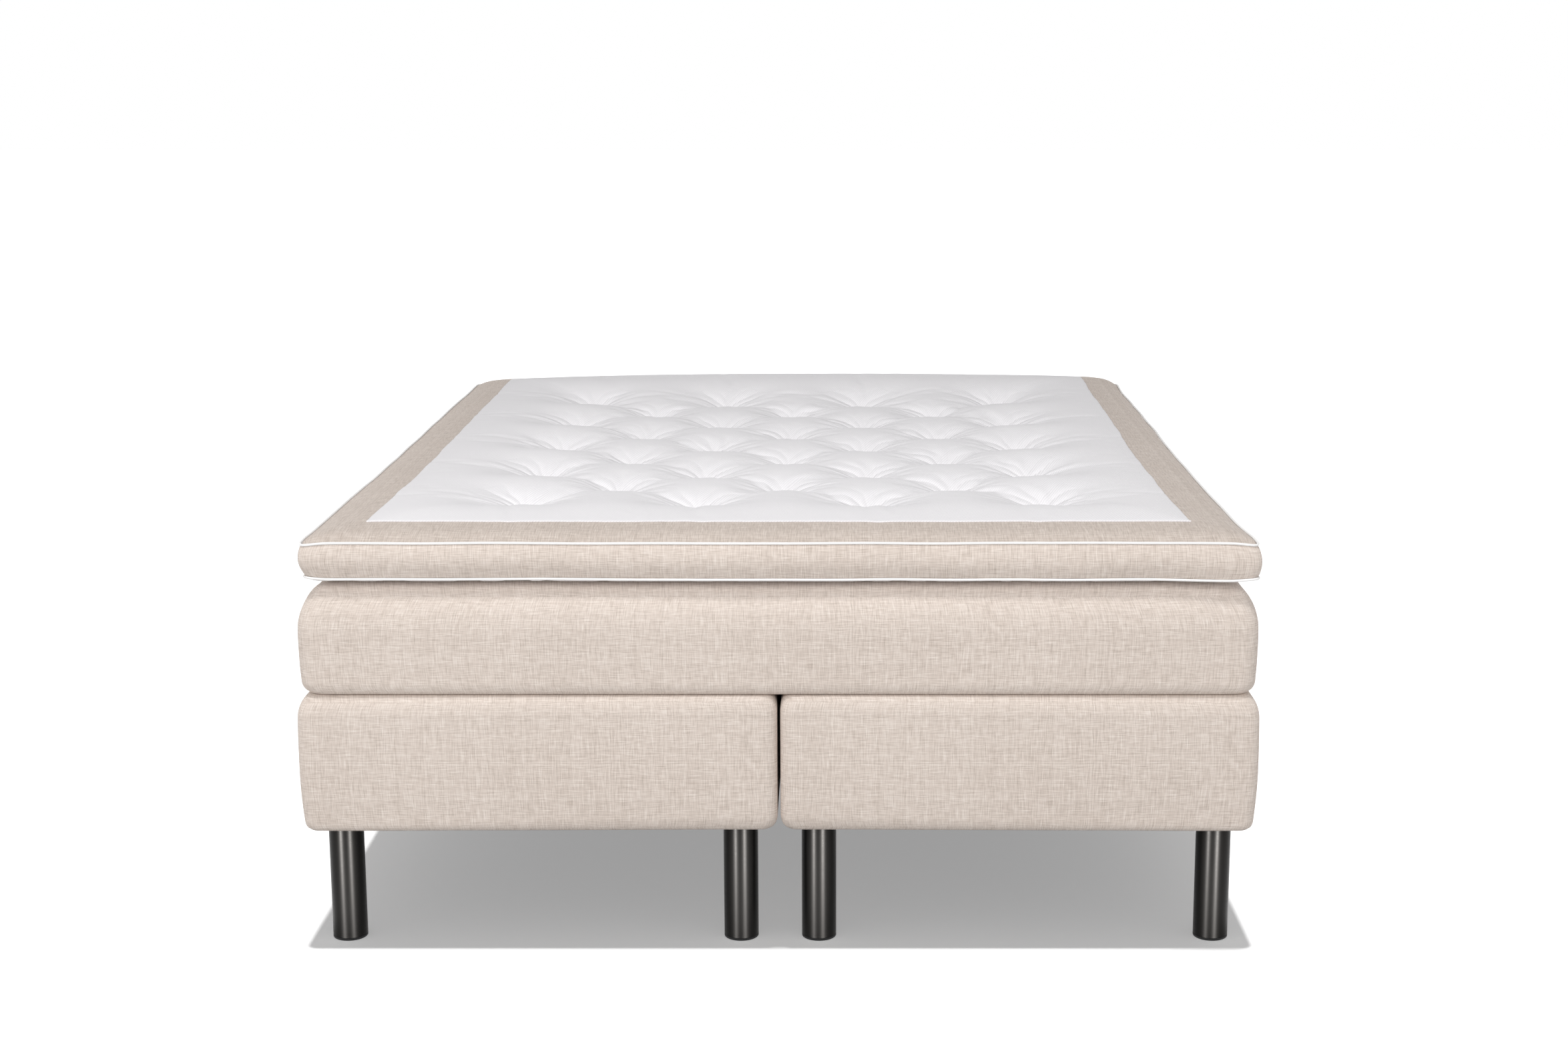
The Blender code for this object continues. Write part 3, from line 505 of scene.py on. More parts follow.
def from_sides(points, half):
    """How far each point is from the left or right side and from the ends."""
    return half[0] - np.abs(points[:, 0]), half[1] - np.abs(points[:, 1])


def depth_in(points, half):
    return np.minimum(*from_sides(points, half))


def in_plan(points, half, depth, spread, corner, west=0.0, east=0.0, ends=0.0):
    """Moves square rings, each at a depth from the edge, to rounded ones at the spread depth."""
    x, y = np.abs(points[:, 0]), np.abs(points[:, 1])
    side = np.where(points[:, 0] < 0, west, east)
    wide, long = half[0] - spread - side, half[1] - spread - ends
    wide_was, long_was = half[0] - depth, half[1] - depth
    r = np.maximum(corner, 1e-6)
    on_side = (half[0] - x) <= (half[1] - y)
    left = np.where(on_side, long_was - y, wide_was - x)
    angle = np.pi / 4 * fade(left, r)
    bent = left < r
    near, far = r * (np.cos(angle) - 1), r * (np.sin(angle) - 1)
    side_x = wide + near
    side_y = np.where(bent, long + far, y * (long - r) / (long_was - r))
    end_x = np.where(bent, wide + far, x * (wide - r) / (wide_was - r))
    end_y = long + near
    moved = points.copy()
    moved[:, 0] = np.copysign(np.where(on_side, side_x, end_x), points[:, 0])
    moved[:, 1] = np.copysign(np.where(on_side, side_y, end_y), points[:, 1])
    return moved


def soften(piece, half, tall, corner, top, bottom, sides, hem):
    """Rounds a box. top and bottom give (depth, height) of the edge curve at each x."""
    points = get_points(piece)
    upper = points[:, 2] > tall / 2
    down = np.where(upper, tall - points[:, 2], points[:, 2])
    depth = np.maximum(depth_in(points, half), 0)
    bend, drop = np.where(upper, top(points[:, 0]), bottom(points[:, 0]))
    on_cap = down < 1e-6
    angle = np.where(on_cap, np.pi / 4 * (1 + np.clip(depth / bend, 0, 1)),
                     np.pi / 4 * fade(down, drop))
    spread = np.where(on_cap & (depth > bend), depth, bend * (1 - np.cos(angle)))
    lower = np.where(~on_cap & (down > drop), down, drop * (1 - np.sin(angle)))
    points[:, 2] = np.where(upper, tall - lower, lower)
    radius = corner * fade(depth - bend, hem - bend)
    west, east, ends = sides(points[:, 2])
    points = in_plan(points, half, depth, spread, radius, west, east, ends)
    set_points(piece, points)


def wander(points, length, seed):
    """Smooth noise between -1 and 1 at each point, with waves this long."""
    return np.array([noise.noise(Vector(p) / length + Vector((seed, 0.3, 0.7))) for p in points])


def waves(points, tall, calm, stretch, length, depth, seed):
    """Shallow waves into a cover, as lengths. They fade out this near to its lower and upper edge."""
    shown = np.clip(points[:, 2] / calm[0], 0, 1) * np.clip((tall - points[:, 2]) / calm[1], 0, 1)
    return 0.5 * (wander(points * stretch, length, seed) - 1) * depth * shown


def finish_piece(piece, node, material, body):
    """Puts a piece in its node's place, and gives it its material, smooth shading and body."""
    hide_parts(node)
    piece.data.materials.clear()
    piece.data.materials.append(material)
    only(piece)
    bpy.ops.object.shade_smooth_by_angle(angle=math.radians(40))
    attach(piece, body)
    print(f"{piece.name}: {len(piece.data.polygons)} faces")
    return piece


def apply_modifiers(piece):
    only(piece)
    for modifier in list(piece.modifiers):
        bpy.ops.object.modifier_apply(modifier=modifier.name)


def add_wall(piece, thickness, offset):
    """Gives cloth its thickness, on its outside for offset 1 and inside for -1."""
    wall = piece.modifiers.new("wall", "SOLIDIFY")
    wall.thickness = thickness
    wall.offset = offset


def extrude_up(height):
    bpy.ops.mesh.extrude_region_move(TRANSFORM_OT_translate={"value": (0, 0, height)})


def face_outwards(piece):
    edit(piece)
    bpy.ops.mesh.select_all(action="SELECT")
    bpy.ops.mesh.remove_doubles(threshold=1e-6)
    bpy.ops.mesh.normals_make_consistent(inside=False)
    leave_edit()


print("helpers ready")

# %% [markdown]
# ## The two bases
#
# A base is a wooden frame with springs, felt and foam on it, all under one linen cover with wadding. The cover is
# stapled under the frame, where it ends in a hem 40 mm wide. The outer edge is fuller than the one that meets the
# other base, where the two covers press flat, and low down the cover is drawn in towards its staples. It is
# modelled as one soft box. The bottom is opened inside the hem, and the opening is extruded up to make the hollow
# that the frame fills.

# %% Base upholstery
BASE_CORNER = 0.020
HEM = 0.040
HEM_THICKNESS = 0.0015
COVER_WALL = 0.022
COVER_TOP = 0.006
DRAW_IN = 0.004
DRAW_HEIGHT = 0.120
BASE_SWELL = 0.0035
# Steps between rows of points where a side is flat, and near its edges
BASE_STEPS, EDGE_STEP = (0.022, 0.026, 0.016), 0.004
BASE_WAVE, BASE_WAVE_LENGTH, BASE_CALM = 0.0010, 0.22, (0.03, 0.012)
# Depth and height of the curve of an edge, where the bases meet and how much more at the outside
UPPER_EDGE = (0.014, 0.008), (0.030, 0.010)
LOWER_EDGE = (0.016, -0.008), (0.030, -0.015)


def base_upholstery(word, side):
    low, high = box_of(f"{word}_base_cover")
    middle, size = (low + high) / 2, high - low
    half = (size.x / 2, size.y / 2)
    stations = (
        rows_between(-half[0], half[0], HEM, HEM / 8, BASE_STEPS[0]),
        rows_between(-half[1], half[1], HEM, HEM / 8, BASE_STEPS[1]),
        rows_between(0, size.z, HEM, EDGE_STEP, BASE_STEPS[2]),
    )
    piece = cut_cube(f"{word}_base_upholstery", stations)

    def edge(curve):
        """The curve's depth and height at each x."""
        return lambda x: np.stack([inner + more * np.clip(0.5 + side * x / (2 * half[0] - 0.2), 0, 1)
                                   for inner, more in curve])

    def sides(z):
        swell = BASE_SWELL * np.sin(np.pi * np.clip(z / size.z, 0, 1)) ** 0.5
        drawn = DRAW_IN * fade(z, DRAW_HEIGHT) ** 2 - swell
        return (drawn if side < 0 else 0.0), (drawn if side > 0 else 0.0), drawn + 0.5 * swell

    soften(piece, half, size.z, BASE_CORNER, edge(UPPER_EDGE), edge(LOWER_EDGE), sides, HEM)
    points = get_points(piece)
    inwards = waves(points, size.z, BASE_CALM, (1, 1, 2), BASE_WAVE_LENGTH, BASE_WAVE, 11 + side)
    points += get_normals(piece) * inwards[:, None]
    set_points(piece, points + np.array((middle.x, middle.y, low.z)))

    edit(piece)
    open_bottom(piece, middle, (half[0] - HEM, half[1] - HEM))
    pick(piece, "edges", lambda e: len(e.link_faces) == 1)
    centre = (middle.x, middle.y, 0)
    wider = [(h - COVER_WALL) / (h - HEM) for h in half]
    extrude_up(HEM_THICKNESS)
    extrude_up(0)
    bpy.ops.transform.resize(value=(wider[0], wider[1], 1), center_override=centre)
    extrude_up(size.z - COVER_TOP - HEM_THICKNESS)
    bpy.ops.mesh.edge_face_add()
    leave_edit()
    face_outwards(piece)
    finish_piece(piece, f"{word}_base_cover", linen, f"{word}_base")


for word, side in (("left", -1), ("right", 1)):
    base_upholstery(word, side)

# %% [markdown]
# ## The mattress cover
#
# The mattress lies loose across both bases. Its cover is a linen shell 4 mm thick, and it is much rounder at the
# top than at the bottom, because the topper and the foam press its upper edge in. It starts as the same soft box.
# Solidify gives the shell its wall, so that the layers inside still fit.

# %% Mattress cover
MATTRESS_CORNER = 0.030
MATTRESS_TOP = (0.056, 0.083)
MATTRESS_LOW = (0.015, 0.022)
MATTRESS_OPENING = 0.047
MATTRESS_STEPS, MATTRESS_EDGE, MATTRESS_EDGE_STEP = (0.030, 0.034, 0.010), 0.045, 0.005
# The corners are tight down to this depth from the edge
MATTRESS_HEM = 0.09
MATTRESS_WALL = 0.0036
MATTRESS_WAVE, MATTRESS_WAVE_LENGTH, MATTRESS_CALM = 0.0018, 0.20, (0.03, 0.03)
# The foam presses the sides out past the nominal size
MATTRESS_SWELL = 0.0078
# and the ends less than the long sides
END_SHARE = 0.2
CORNER_FOLD, CORNER_FOLD_REACH, CORNER_FOLD_LENGTH = 0.003, 0.22, 0.045

low, high = box_of("mattress_cover")
size = high - low
half = (size.x / 2, size.y / 2)
stations = (
    rows_between(-half[0], half[0], 2 * MATTRESS_OPENING, MATTRESS_OPENING / 6, MATTRESS_STEPS[0]),
    rows_between(-half[1], half[1], 2 * MATTRESS_OPENING, MATTRESS_OPENING / 6, MATTRESS_STEPS[1]),
    rows_between(0, size.z, MATTRESS_EDGE, MATTRESS_EDGE_STEP, MATTRESS_STEPS[2]),
)
mattress = cut_cube("mattress_upholstery", stations)


def mattress_sides(z):
    swell = -MATTRESS_SWELL * np.sin(np.pi * np.clip(z / size.z, 0, 1)) ** 0.45
    return swell, swell, END_SHARE * swell


def same_all_round(curve):
    return lambda x: np.stack([np.full_like(x, value) for value in curve])


soften(mattress, half, size.z, MATTRESS_CORNER, same_all_round(MATTRESS_TOP), same_all_round(MATTRESS_LOW),
       mattress_sides, MATTRESS_HEM)
points = get_points(mattress)
inwards = waves(points, size.z, MATTRESS_CALM, (1, 1, 1.6), MATTRESS_WAVE_LENGTH, MATTRESS_WAVE, 5)
# The cover is gathered at the upper corners: shallow folds run down from them
off_corner = np.hypot(*from_sides(points, half))
high_up = np.clip((points[:, 2] - 0.4 * size.z) / (0.45 * size.z), 0, 1)
folds = wander(points * (1, 1, 0.35), CORNER_FOLD_LENGTH, 57)
inwards += CORNER_FOLD * (folds * fade(off_corner, CORNER_FOLD_REACH) * high_up)
points += get_normals(mattress) * inwards[:, None]
set_points(mattress, points + np.array((0, 0, low.z)))

edit(mattress)
open_bottom(mattress, (0, 0), (half[0] - MATTRESS_OPENING, half[1] - MATTRESS_OPENING))
leave_edit()
add_wall(mattress, MATTRESS_WALL, -1)
apply_modifiers(mattress)
finish_piece(mattress, "mattress_cover", linen, "mattress")

# %% [markdown]
# ## The topper's tufted top
#
# The topper is a slab of soft foam in a cover. Thirty-two tufts of yarn are pulled down through it on a square
# lattice, in rows of four and of three by turns, and the ticking between them swells into pillows with pleats that
# run to each tuft. One sheet makes the whole top. Its dents and main pleats are worked out from each point's way to
# the tuft, the finest folds are in the ticking's bump, and cloth with air under it then rounds the pillows. The
# sheet's rows are set so that a point falls on each tuft and a row on the seam between the panel and its border.

# %% Sheet over the whole top
TUFT_ROWS = 9
CELLS_PER_TUFT = 15
PANEL_CELLS = (67, 86)
BAND_CELLS = 9
PIPING = 0.0022
SEAM_STRAY = 0.0016
STRAY_LENGTH = 0.16
# For each seam: where its noise starts, how far its corners are lifted, how far in it is along the sides, and how
# far its left and right corners flare out
UPPER, LOWER = (3, -0.0045, 0.0, (0.004, 0.011)), (31, 0.003, 0.003, (0.001, 0.018))
CORNER_REACH = 0.045
# How far the middle of the left and the right long side bows in
BOW = (0.004, 0.008)
BOW_MIDDLE, BOW_REACH, FLARE_REACH = -0.35, 0.55, 0.20
# The power that keeps the way out of the bed square to a side until close to a corner
CORNER_POWER = 15
# How far in from its edge the top takes part in its seam's stray, and is still rounded at its corners
SEAM_REACH, CORNER_FADE = 0.12, 0.06
# How far in from a long side its own stray and its bow reach
SIDE_REACH, BOW_FADE = 0.05, 0.15
RIM_CLEAR = 0.0003
TOPPER_CORNER = 0.018
# The tufts pull the middle down to this height over the piping, lower than the border
CROWN = 0.000
# Height of the band's inner edge over the piping at the foot end. At the head end it is highest a little right of
# the middle, and drops towards the sides
FOOT_RISE = 0.0155
HEAD_RISE, HEAD_DROP, HEAD_MIDDLE, HEAD_REACH = 0.0362, 0.018, 0.08, 0.82
BAND_REACH, BAND_ROUND, MIDDLE_REACH = 0.10, 3.5, 0.45
TUFT_BOTTOM = -0.028
# A tuft pulls the cloth down in a star: furthest towards its four nearest neighbours
DENT_REACH, VALLEY_REACH = 0.105, 0.050
DENT_POWER = 1.8
PLEAT = 0.0034
PLEATS_ROUND = 11
PLEAT_REACH = 0.125

low, high = box_of("topper_upper_piping")
UPPER_SEAM = (low.z + high.z) / 2
BED = (high.x - PIPING, high.y - PIPING)
LOWER_SEAM = sum(corner[2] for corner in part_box("topper_lower_piping")) / 2
RIM = tuple(value - PIPING - RIM_CLEAR for value in BED)
CELL = TUFT_PITCH / CELLS_PER_TUFT
SEAM = tuple(count * CELL for count in PANEL_CELLS)


def line_rows(seam, rim, count):
    band = np.linspace(seam, rim, BAND_CELLS + 1)[1:]
    panel = np.arange(-count, count + 1) * CELL
    return np.concatenate((-band[::-1], panel, band))


def tuft_places():
    places = []
    for row in range(TUFT_ROWS):
        count = 4 - row % 2
        y = (2 * row - TUFT_ROWS + 1) / 2 * TUFT_PITCH
        places += [((2 * i - count + 1) * TUFT_PITCH, y) for i in range(count)]
    return places


def seam_stray(points, seam):
    """How far a sewn seam strays from its line, sideways and up. Piping pulls tight round a corner."""
    seed, lift, inset, flares = seam
    flat = points * (1, 1, 0)
    off_side, off_end = from_sides(flat, BED)
    off_corner = np.hypot(off_side, off_end)
    near = fade(off_corner, CORNER_REACH)
    flare = fade(off_corner, FLARE_REACH) ** 2 * np.where(flat[:, 0] < 0, *flares)
    by_side = fade(off_side, SIDE_REACH)
    out = SEAM_STRAY * wander(flat, STRAY_LENGTH, seed) - inset * by_side + flare - bow(flat)
    return out, SEAM_STRAY * wander(flat, STRAY_LENGTH, seed + 9) + lift * near ** 1.3


def outward(flat):
    """The way out of the bed at each point: square to its sides, and slanting at its corners."""
    away = [np.clip(flat[:, axis] / (BED[axis] - TOPPER_CORNER), -1, 1) ** CORNER_POWER for axis in (0, 1)]
    away = np.stack(away, axis=1)
    return away / np.maximum(np.linalg.norm(away, axis=1), 1e-9)[:, None]


def bow(flat):
    """How far the bed's long sides bow in here."""
    share = np.exp(-((flat[:, 1] - BOW_MIDDLE) / BOW_REACH) ** 2)
    by_side = fade(from_sides(flat, BED)[0], BOW_FADE)
    return share * by_side * np.where(flat[:, 0] < 0, *BOW)


def slow_rise(distance):
    """Share of the crown's middle part at this distance in from an edge."""
    return 1 - fade(distance - BAND_REACH, MIDDLE_REACH) ** 1.8


def pleats(across, along, seed):
    """Creases that run out from a tuft, as a height between about -1 and 1. Each tuft has its own."""
    distance = np.hypot(across, along)
    angle = np.arctan2(along, across) + 5.0 * (seed % 3 - 1) * distance
    round_tuft = np.stack((np.cos(angle), np.sin(angle), np.full_like(angle, seed)), axis=1)
    uneven = wander(round_tuft, 0.8, 67)
    ridge = 1.6 * np.abs(np.cos(PLEATS_ROUND / 2 * angle + 2.2 * uneven + seed)) - 1
    strength = np.clip(0.75 + 1.3 * wander(round_tuft, 0.9, 71), 0.1, 1.3)
    reach = np.clip(distance / PLEAT_REACH, 0, 1)
    return ridge * strength * np.sin(np.pi * reach ** 0.75) ** 1.2


sheet, flat = cut_grid("topper_top_sheet", [line_rows(*way) for way in zip(SEAM, RIM, PANEL_CELLS)])
depth = depth_in(flat, RIM)
points = in_plan(flat, RIM, depth, depth, TOPPER_CORNER * fade(depth, CORNER_FADE))
head_rise = HEAD_RISE - HEAD_DROP * (np.abs(flat[:, 0] - HEAD_MIDDLE) / HEAD_REACH) ** 2.5
edge_rise = FOOT_RISE + (head_rise - FOOT_RISE) * ((1 + flat[:, 1] / RIM[1]) / 2) ** 3
crown = edge_rise * (1 - fade(depth, BAND_REACH) ** BAND_ROUND)
off_side, off_end = from_sides(flat, RIM)
crown += (CROWN - edge_rise) * slow_rise(off_side) * slow_rise(off_end)
dent = np.zeros(len(flat))
for number, (x, y) in enumerate(tuft_places()):
    across, along = flat[:, 0] - x, flat[:, 1] - y
    distance = np.maximum(np.hypot(across, along), 1e-6)
    near = fade(distance, DENT_REACH + VALLEY_REACH * np.abs(2 * across * along / distance ** 2) ** 3)
    dent += (crown - TUFT_BOTTOM) * near ** DENT_POWER
    close = near > 0
    dent[close] -= PLEAT * pleats(across[close], along[close], number)
out, up = seam_stray(points, UPPER)
by_rim = fade(depth, SEAM_REACH)
points[:, 2] = UPPER_SEAM + crown - dent + up * by_rim ** 2
points[:, :2] += outward(flat) * (out * by_rim)[:, None]
set_points(sheet, points)
cut_line = sheet.data.attributes.new("flat_place", "FLOAT_VECTOR", "POINT")
cut_line.data.foreach_set("vector", np.ascontiguousarray(flat).ravel())
print("sheet:", len(points), "points, crest", round(points[:, 2].max(), 4))

# %% [markdown]
# The cloth is light and a little too large for its place, as ticking over foam is, and there is no gravity, because
# the foam carries it. A point may move no further than the foam would let it.

# %% Swell the sheet
PRESSURE = 6.0
EXTRA_CLOTH = -0.008
SWELL_FRAMES = 11
MOST_SWELL = 0.025
# The band is sewn flat, so it swells by only this share of what the panel does
BAND_LOOSE, LOOSE_REACH = 0.15, 0.25
TICKING_CLOTH = {
    "quality": 5, "mass": 0.05, "tension_stiffness": 15, "compression_stiffness": 15, "shear_stiffness": 5,
    "bending_stiffness": 0.5, "vertex_group_mass": "sewn", "use_pressure": True,
    "uniform_pressure_force": PRESSURE, "shrink_min": EXTRA_CLOTH,
}

pinned = depth < 1e-6
for x, y in tuft_places():
    pinned |= np.hypot((flat[:, 0] - x) / 1.2, flat[:, 1] - y) < 0.95 * CELL
group = sheet.vertex_groups.new(name="sewn")
group.add([int(i) for i in np.nonzero(pinned)[0]], 1.0, "REPLACE")
cloth = sheet.modifiers.new("Cloth", "CLOTH")
for name, value in TICKING_CLOTH.items():
    setattr(cloth.settings, name, value)
cloth.settings.effector_weights.gravity = 0
cloth.point_cache.frame_start, cloth.point_cache.frame_end = 1, SWELL_FRAMES + 1
for number in range(1, SWELL_FRAMES + 1):
    bpy.context.scene.frame_set(number)
apply_modifiers(sheet)
bpy.context.scene.frame_set(1)
sheet.vertex_groups.clear()
moved = get_points(sheet) - points
far = np.maximum(np.linalg.norm(moved, axis=1) / MOST_SWELL, 1)
loose = BAND_LOOSE + (1 - BAND_LOOSE) * np.clip((depth - CORNER_FADE) / LOOSE_REACH, 0, 1)
points = points + moved * (loose / far)[:, None]
set_points(sheet, points)
print("swollen: crest", round(points[:, 2].max(), 4), "lowest", round(points[:, 2].min(), 4))
on_seam = np.abs(np.abs(flat[:, 1]) - SEAM[1]) < CELL / 2
for word, sign in (("foot", -1), ("head", 1)):
    row = points[on_seam & (flat[:, 1] * sign > 0) & (np.abs(flat[:, 0]) < SEAM[0]), 2]
    print(word, "seam height", round(row.min(), 4), round(row.mean(), 4), round(row.max(), 4))

# %% [markdown]
# ## Panel, border band and foam core
#
# The ticking panel and the linen border meet in a seam 90 mm in from the edge. The panel is folded under along it
# and stands a little proud of the band. Both are cut from the swollen sheet by deleting the faces of the other.
# A subdivision smooths them, Solidify makes them cloth with a wall, and a narrow bevel rounds the fold. The border's
# four strips meet in mitred seams at the corners. The foam core takes the sheet's shape too, a cloth's thickness
# lower.

# %% Panel and band
CLOTH_WALL = 0.003
PANEL_PROUD = 0.0018
FOLD = 0.0012
MITRE_DEPTH = 0.0012
SEWING_GAP = 0.00015
# The panel's cut edge wanders a little where the folded hem is eased round the crown
EDGE_STRAY, EDGE_WAVE = 0.0035, 0.11
# The panel bows in this many times as far as the bed's sides do
PANEL_BOW = 1.2


def cut_from_sheet(name, keep):
    """A copy of the sheet, with only the faces that pass the test of their flat middle."""
    piece = duplicated(sheet, name)
    places = np.rint((flat[:, :2] + 1e-9) * 1e6) / 1e6
    edit(piece)
    cut_away(piece, lambda f: not keep(*(places[[v.index for v in f.verts], axis].mean() for axis in (0, 1))))
    leave_edit()
    return piece


def on_panel(x, y):
    return abs(x) < SEAM[0] and abs(y) < SEAM[1]


def wall_and_round(piece):
    """Smooths a cut of the sheet, and makes it cloth with a rounded fold."""
    smooth = piece.modifiers.new("smooth", "SUBSURF")
    smooth.levels = smooth.render_levels = 1
    smooth.boundary_smooth = "PRESERVE_CORNERS"
    add_wall(piece, CLOTH_WALL, -1)
    fold = piece.modifiers.new("fold", "BEVEL")
    fold.width = FOLD
    fold.segments = 2
    fold.limit_method = "ANGLE"
    fold.angle_limit = math.radians(60)
    apply_modifiers(piece)


def flat_places(piece):
    """Where each point was on the uncut cloth."""
    return read(piece.data.attributes["flat_place"].data, "vector")


def stray_seam(at, cloth):
    """Moves the points near the seam between panel and band along the waves of that seam."""
    off_side, off_end = np.abs(from_sides(cloth, SEAM))
    off = np.minimum(off_side, off_end)
    near = fade(off, 4 * CELL)
    bowed = PANEL_BOW * bow(cloth / np.array((SEAM[0] / BED[0], 1, 1)))
    stray = (EDGE_STRAY * wander(cloth, EDGE_WAVE, 83) - bowed) * near
    by_side = off_side < off_end
    at[:, 0] += np.sign(cloth[:, 0]) * stray * by_side
    at[:, 1] += np.sign(cloth[:, 1]) * stray * ~by_side
    return off < CELL / 2, by_side


panel = cut_from_sheet("topper_panel", on_panel)
at, cloth, normals = get_points(panel), flat_places(panel), get_normals(panel)
on_edge, by_side = stray_seam(at, cloth)
at[:, 0] -= np.sign(cloth[:, 0]) * SEWING_GAP * (on_edge & by_side)
at[:, 1] -= np.sign(cloth[:, 1]) * SEWING_GAP * (on_edge & ~by_side)
set_points(panel, at + normals * PANEL_PROUD)
wall_and_round(panel)
finish_piece(panel, "topper_tufted_panel", ticking, "topper")

band = cut_from_sheet("topper_border", lambda x, y: not on_panel(x, y))
at, cloth = get_points(band), flat_places(band)
stray_seam(at, cloth)
off = np.abs(np.subtract(*from_sides(cloth, RIM))) / math.sqrt(2)
at[:, 2] -= MITRE_DEPTH * fade(off, 0.9 * CELL)
set_points(band, at)
wall_and_round(band)
# The border band gets the copy of the linen with painted shade, a shade darker than the boxing
finish_piece(band, "topper_border_band", shaded_border_linen, "topper")

# %% Foam core
BELLY_WIDTH = 0.040
CORE_GAP = 0.0008
CORE_CLEAR = 0.0012
CORE_DRAWN_IN = 0.0075
UNDERSIDE_ROOM = 0.002
# Between the lobes of its belly the underside is drawn up by this share of the way to the seam, this far in
DRAWN_UP_SHARE, DRAWN_UP_REACH = 0.9, 0.09

BELLY = LOWER_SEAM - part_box("topper_underside")[0][2]
BOTTOM = LOWER_SEAM - BELLY


def belly_height(depth):
    """Height of the topper's underside over its lowest level: it drops from the seam in a quarter round."""
    return BELLY * (1 - np.sqrt(1 - fade(depth, BELLY_WIDTH) ** 2))


def drawn_up(depth):
    """How much higher than its belly the underside may be drawn up between two lobes."""
    return DRAWN_UP_SHARE * (BELLY - belly_height(depth)) * fade(depth, DRAWN_UP_REACH)


core = duplicated(sheet, "topper_foam_core")
at = get_points(core)
lowered = at - get_normals(core) * (CLOTH_WALL + CORE_GAP)
lowered[:, 2] = np.minimum(lowered[:, 2], at[:, 2] - CLOTH_WALL)
lowered[:, :2] = at[:, :2] * [1 - CORE_CLEAR / half for half in RIM]
set_points(core, lowered)
edit(core)
bpy.ops.mesh.select_all(action="SELECT")
extrude_up(-0.001)
leave_edit()
at = get_points(core)
selected = read(core.data.vertices, "select", 1, bool)
at[selected, :2] *= [1 - CORE_DRAWN_IN / half for half in RIM]
inner = depth_in(at, RIM)
floor_level = BOTTOM + UNDERSIDE_ROOM + CORE_GAP + belly_height(inner) + drawn_up(inner)
at[selected, 2] = floor_level[selected]
set_points(core, at)
face_outwards(core)
print("core:", len(core.data.polygons), "faces")

# %% [markdown]
# ## Foam
#
# The foam inside is cut from a block, cream and open-celled, with a matt face full of small pores. Voronoi cells
# a couple of millimetres wide are drawn into the bump.

# %% Foam material and the core's finish
foam = textured("cut_foam", "#ece4cd", 0.95, SOFT, "TexVoronoi", {"Scale": 450.0},
                ((0.0, "#ded4b8"), (0.5, "#f0e9d4")), 0.0005, 0.5)
finish_piece(core, "topper_core", foam, "topper")
deselect()
bpy.data.objects.remove(sheet)
print("foam:", foam.name)

# %% [markdown]
# ## Boxing, underside and pipings
#
# The boxing is the strip of linen round the edge. It is sewn to the band above and to the underside below, with a
# piping in each seam, and the foam makes it swell between them. Cloth that is eased into a seam puckers there. The
# strip is the four sides of a cut cube, whose rows are moved out along a shallow arc, with small puckers that are
# deepest at the seams. The underside turns in below the lower piping in a low belly before it lies on the mattress.

# %% Boxing
BOXING_WALL = 0.002
BOXING_SWELL = 0.0085
PUCKER, GATHER_LENGTH, SLACK_LENGTH = 0.0016, 0.035, 0.12
# Steps between rows of points near a corner, within this reach of it, and further along the foot end and the sides
BOXING_EDGE, BOXING_EDGE_STEP, BOXING_STEPS = 0.04, 0.005, (0.009, 0.0195)
BOXING_ROWS = 13
# The boxing is sewn in this far inside the pipings' line
BOXING_INSET = 0.0012
SEAM_CLEAR = PIPING + 0.0002

stations = [rows_between(-value, value, BOXING_EDGE, BOXING_EDGE_STEP, step) for value, step in zip(BED, BOXING_STEPS)]
boxing = cut_cube("topper_edge_boxing", [*stations, np.linspace(0, 1, BOXING_ROWS)])
edit(boxing)
cut_away(boxing, lambda f: abs(f.normal.z) > 0.9)
leave_edit()
points = get_points(boxing)
share = points[:, 2].copy()
points = in_plan(points, BED, np.zeros(len(points)), np.zeros(len(points)), np.full(len(points), TOPPER_CORNER))
ring = points * (1, 1, 0)
upper_out, upper_up = seam_stray(ring, UPPER)
lower_out, lower_up = seam_stray(ring, LOWER)
top_level = UPPER_SEAM - SEAM_CLEAR + upper_up
low_level = LOWER_SEAM + SEAM_CLEAR + lower_up
points[:, 2] = low_level + (top_level - low_level) * share
gathers = wander(ring, GATHER_LENGTH, 17) * (np.abs(2 * share - 1) ** 2 + 0.15)
slack = wander(points * (1, 1, 1.5), SLACK_LENGTH, 23)
swell = BOXING_SWELL * np.sin(np.pi * share) ** 0.8 * (1 + 0.25 * slack) - BOXING_INSET
out = lower_out + (upper_out - lower_out) * share + swell + PUCKER * gathers * np.sin(np.pi * share) ** 0.3
points[:, :2] += outward(ring) * out[:, None]
set_points(boxing, points)
lay = boxing.data.uv_layers["weave"]
strip = read(lay.data, "uv", 2) * (1, UPPER_SEAM - LOWER_SEAM)
lay.data.foreach_set("uv", strip.ravel())
add_wall(boxing, BOXING_WALL, -1)
apply_modifiers(boxing)
finish_piece(boxing, "topper_boxing", linen, "topper")

# %% Underside
# The belly hangs in lobes, each a few centimetres long
LOBE_LENGTH = 0.030
UNDER_CLOTH = 0.0015
UNDER_EDGE, UNDER_EDGE_STEP, UNDER_STEP = 0.024, 0.003, 0.012

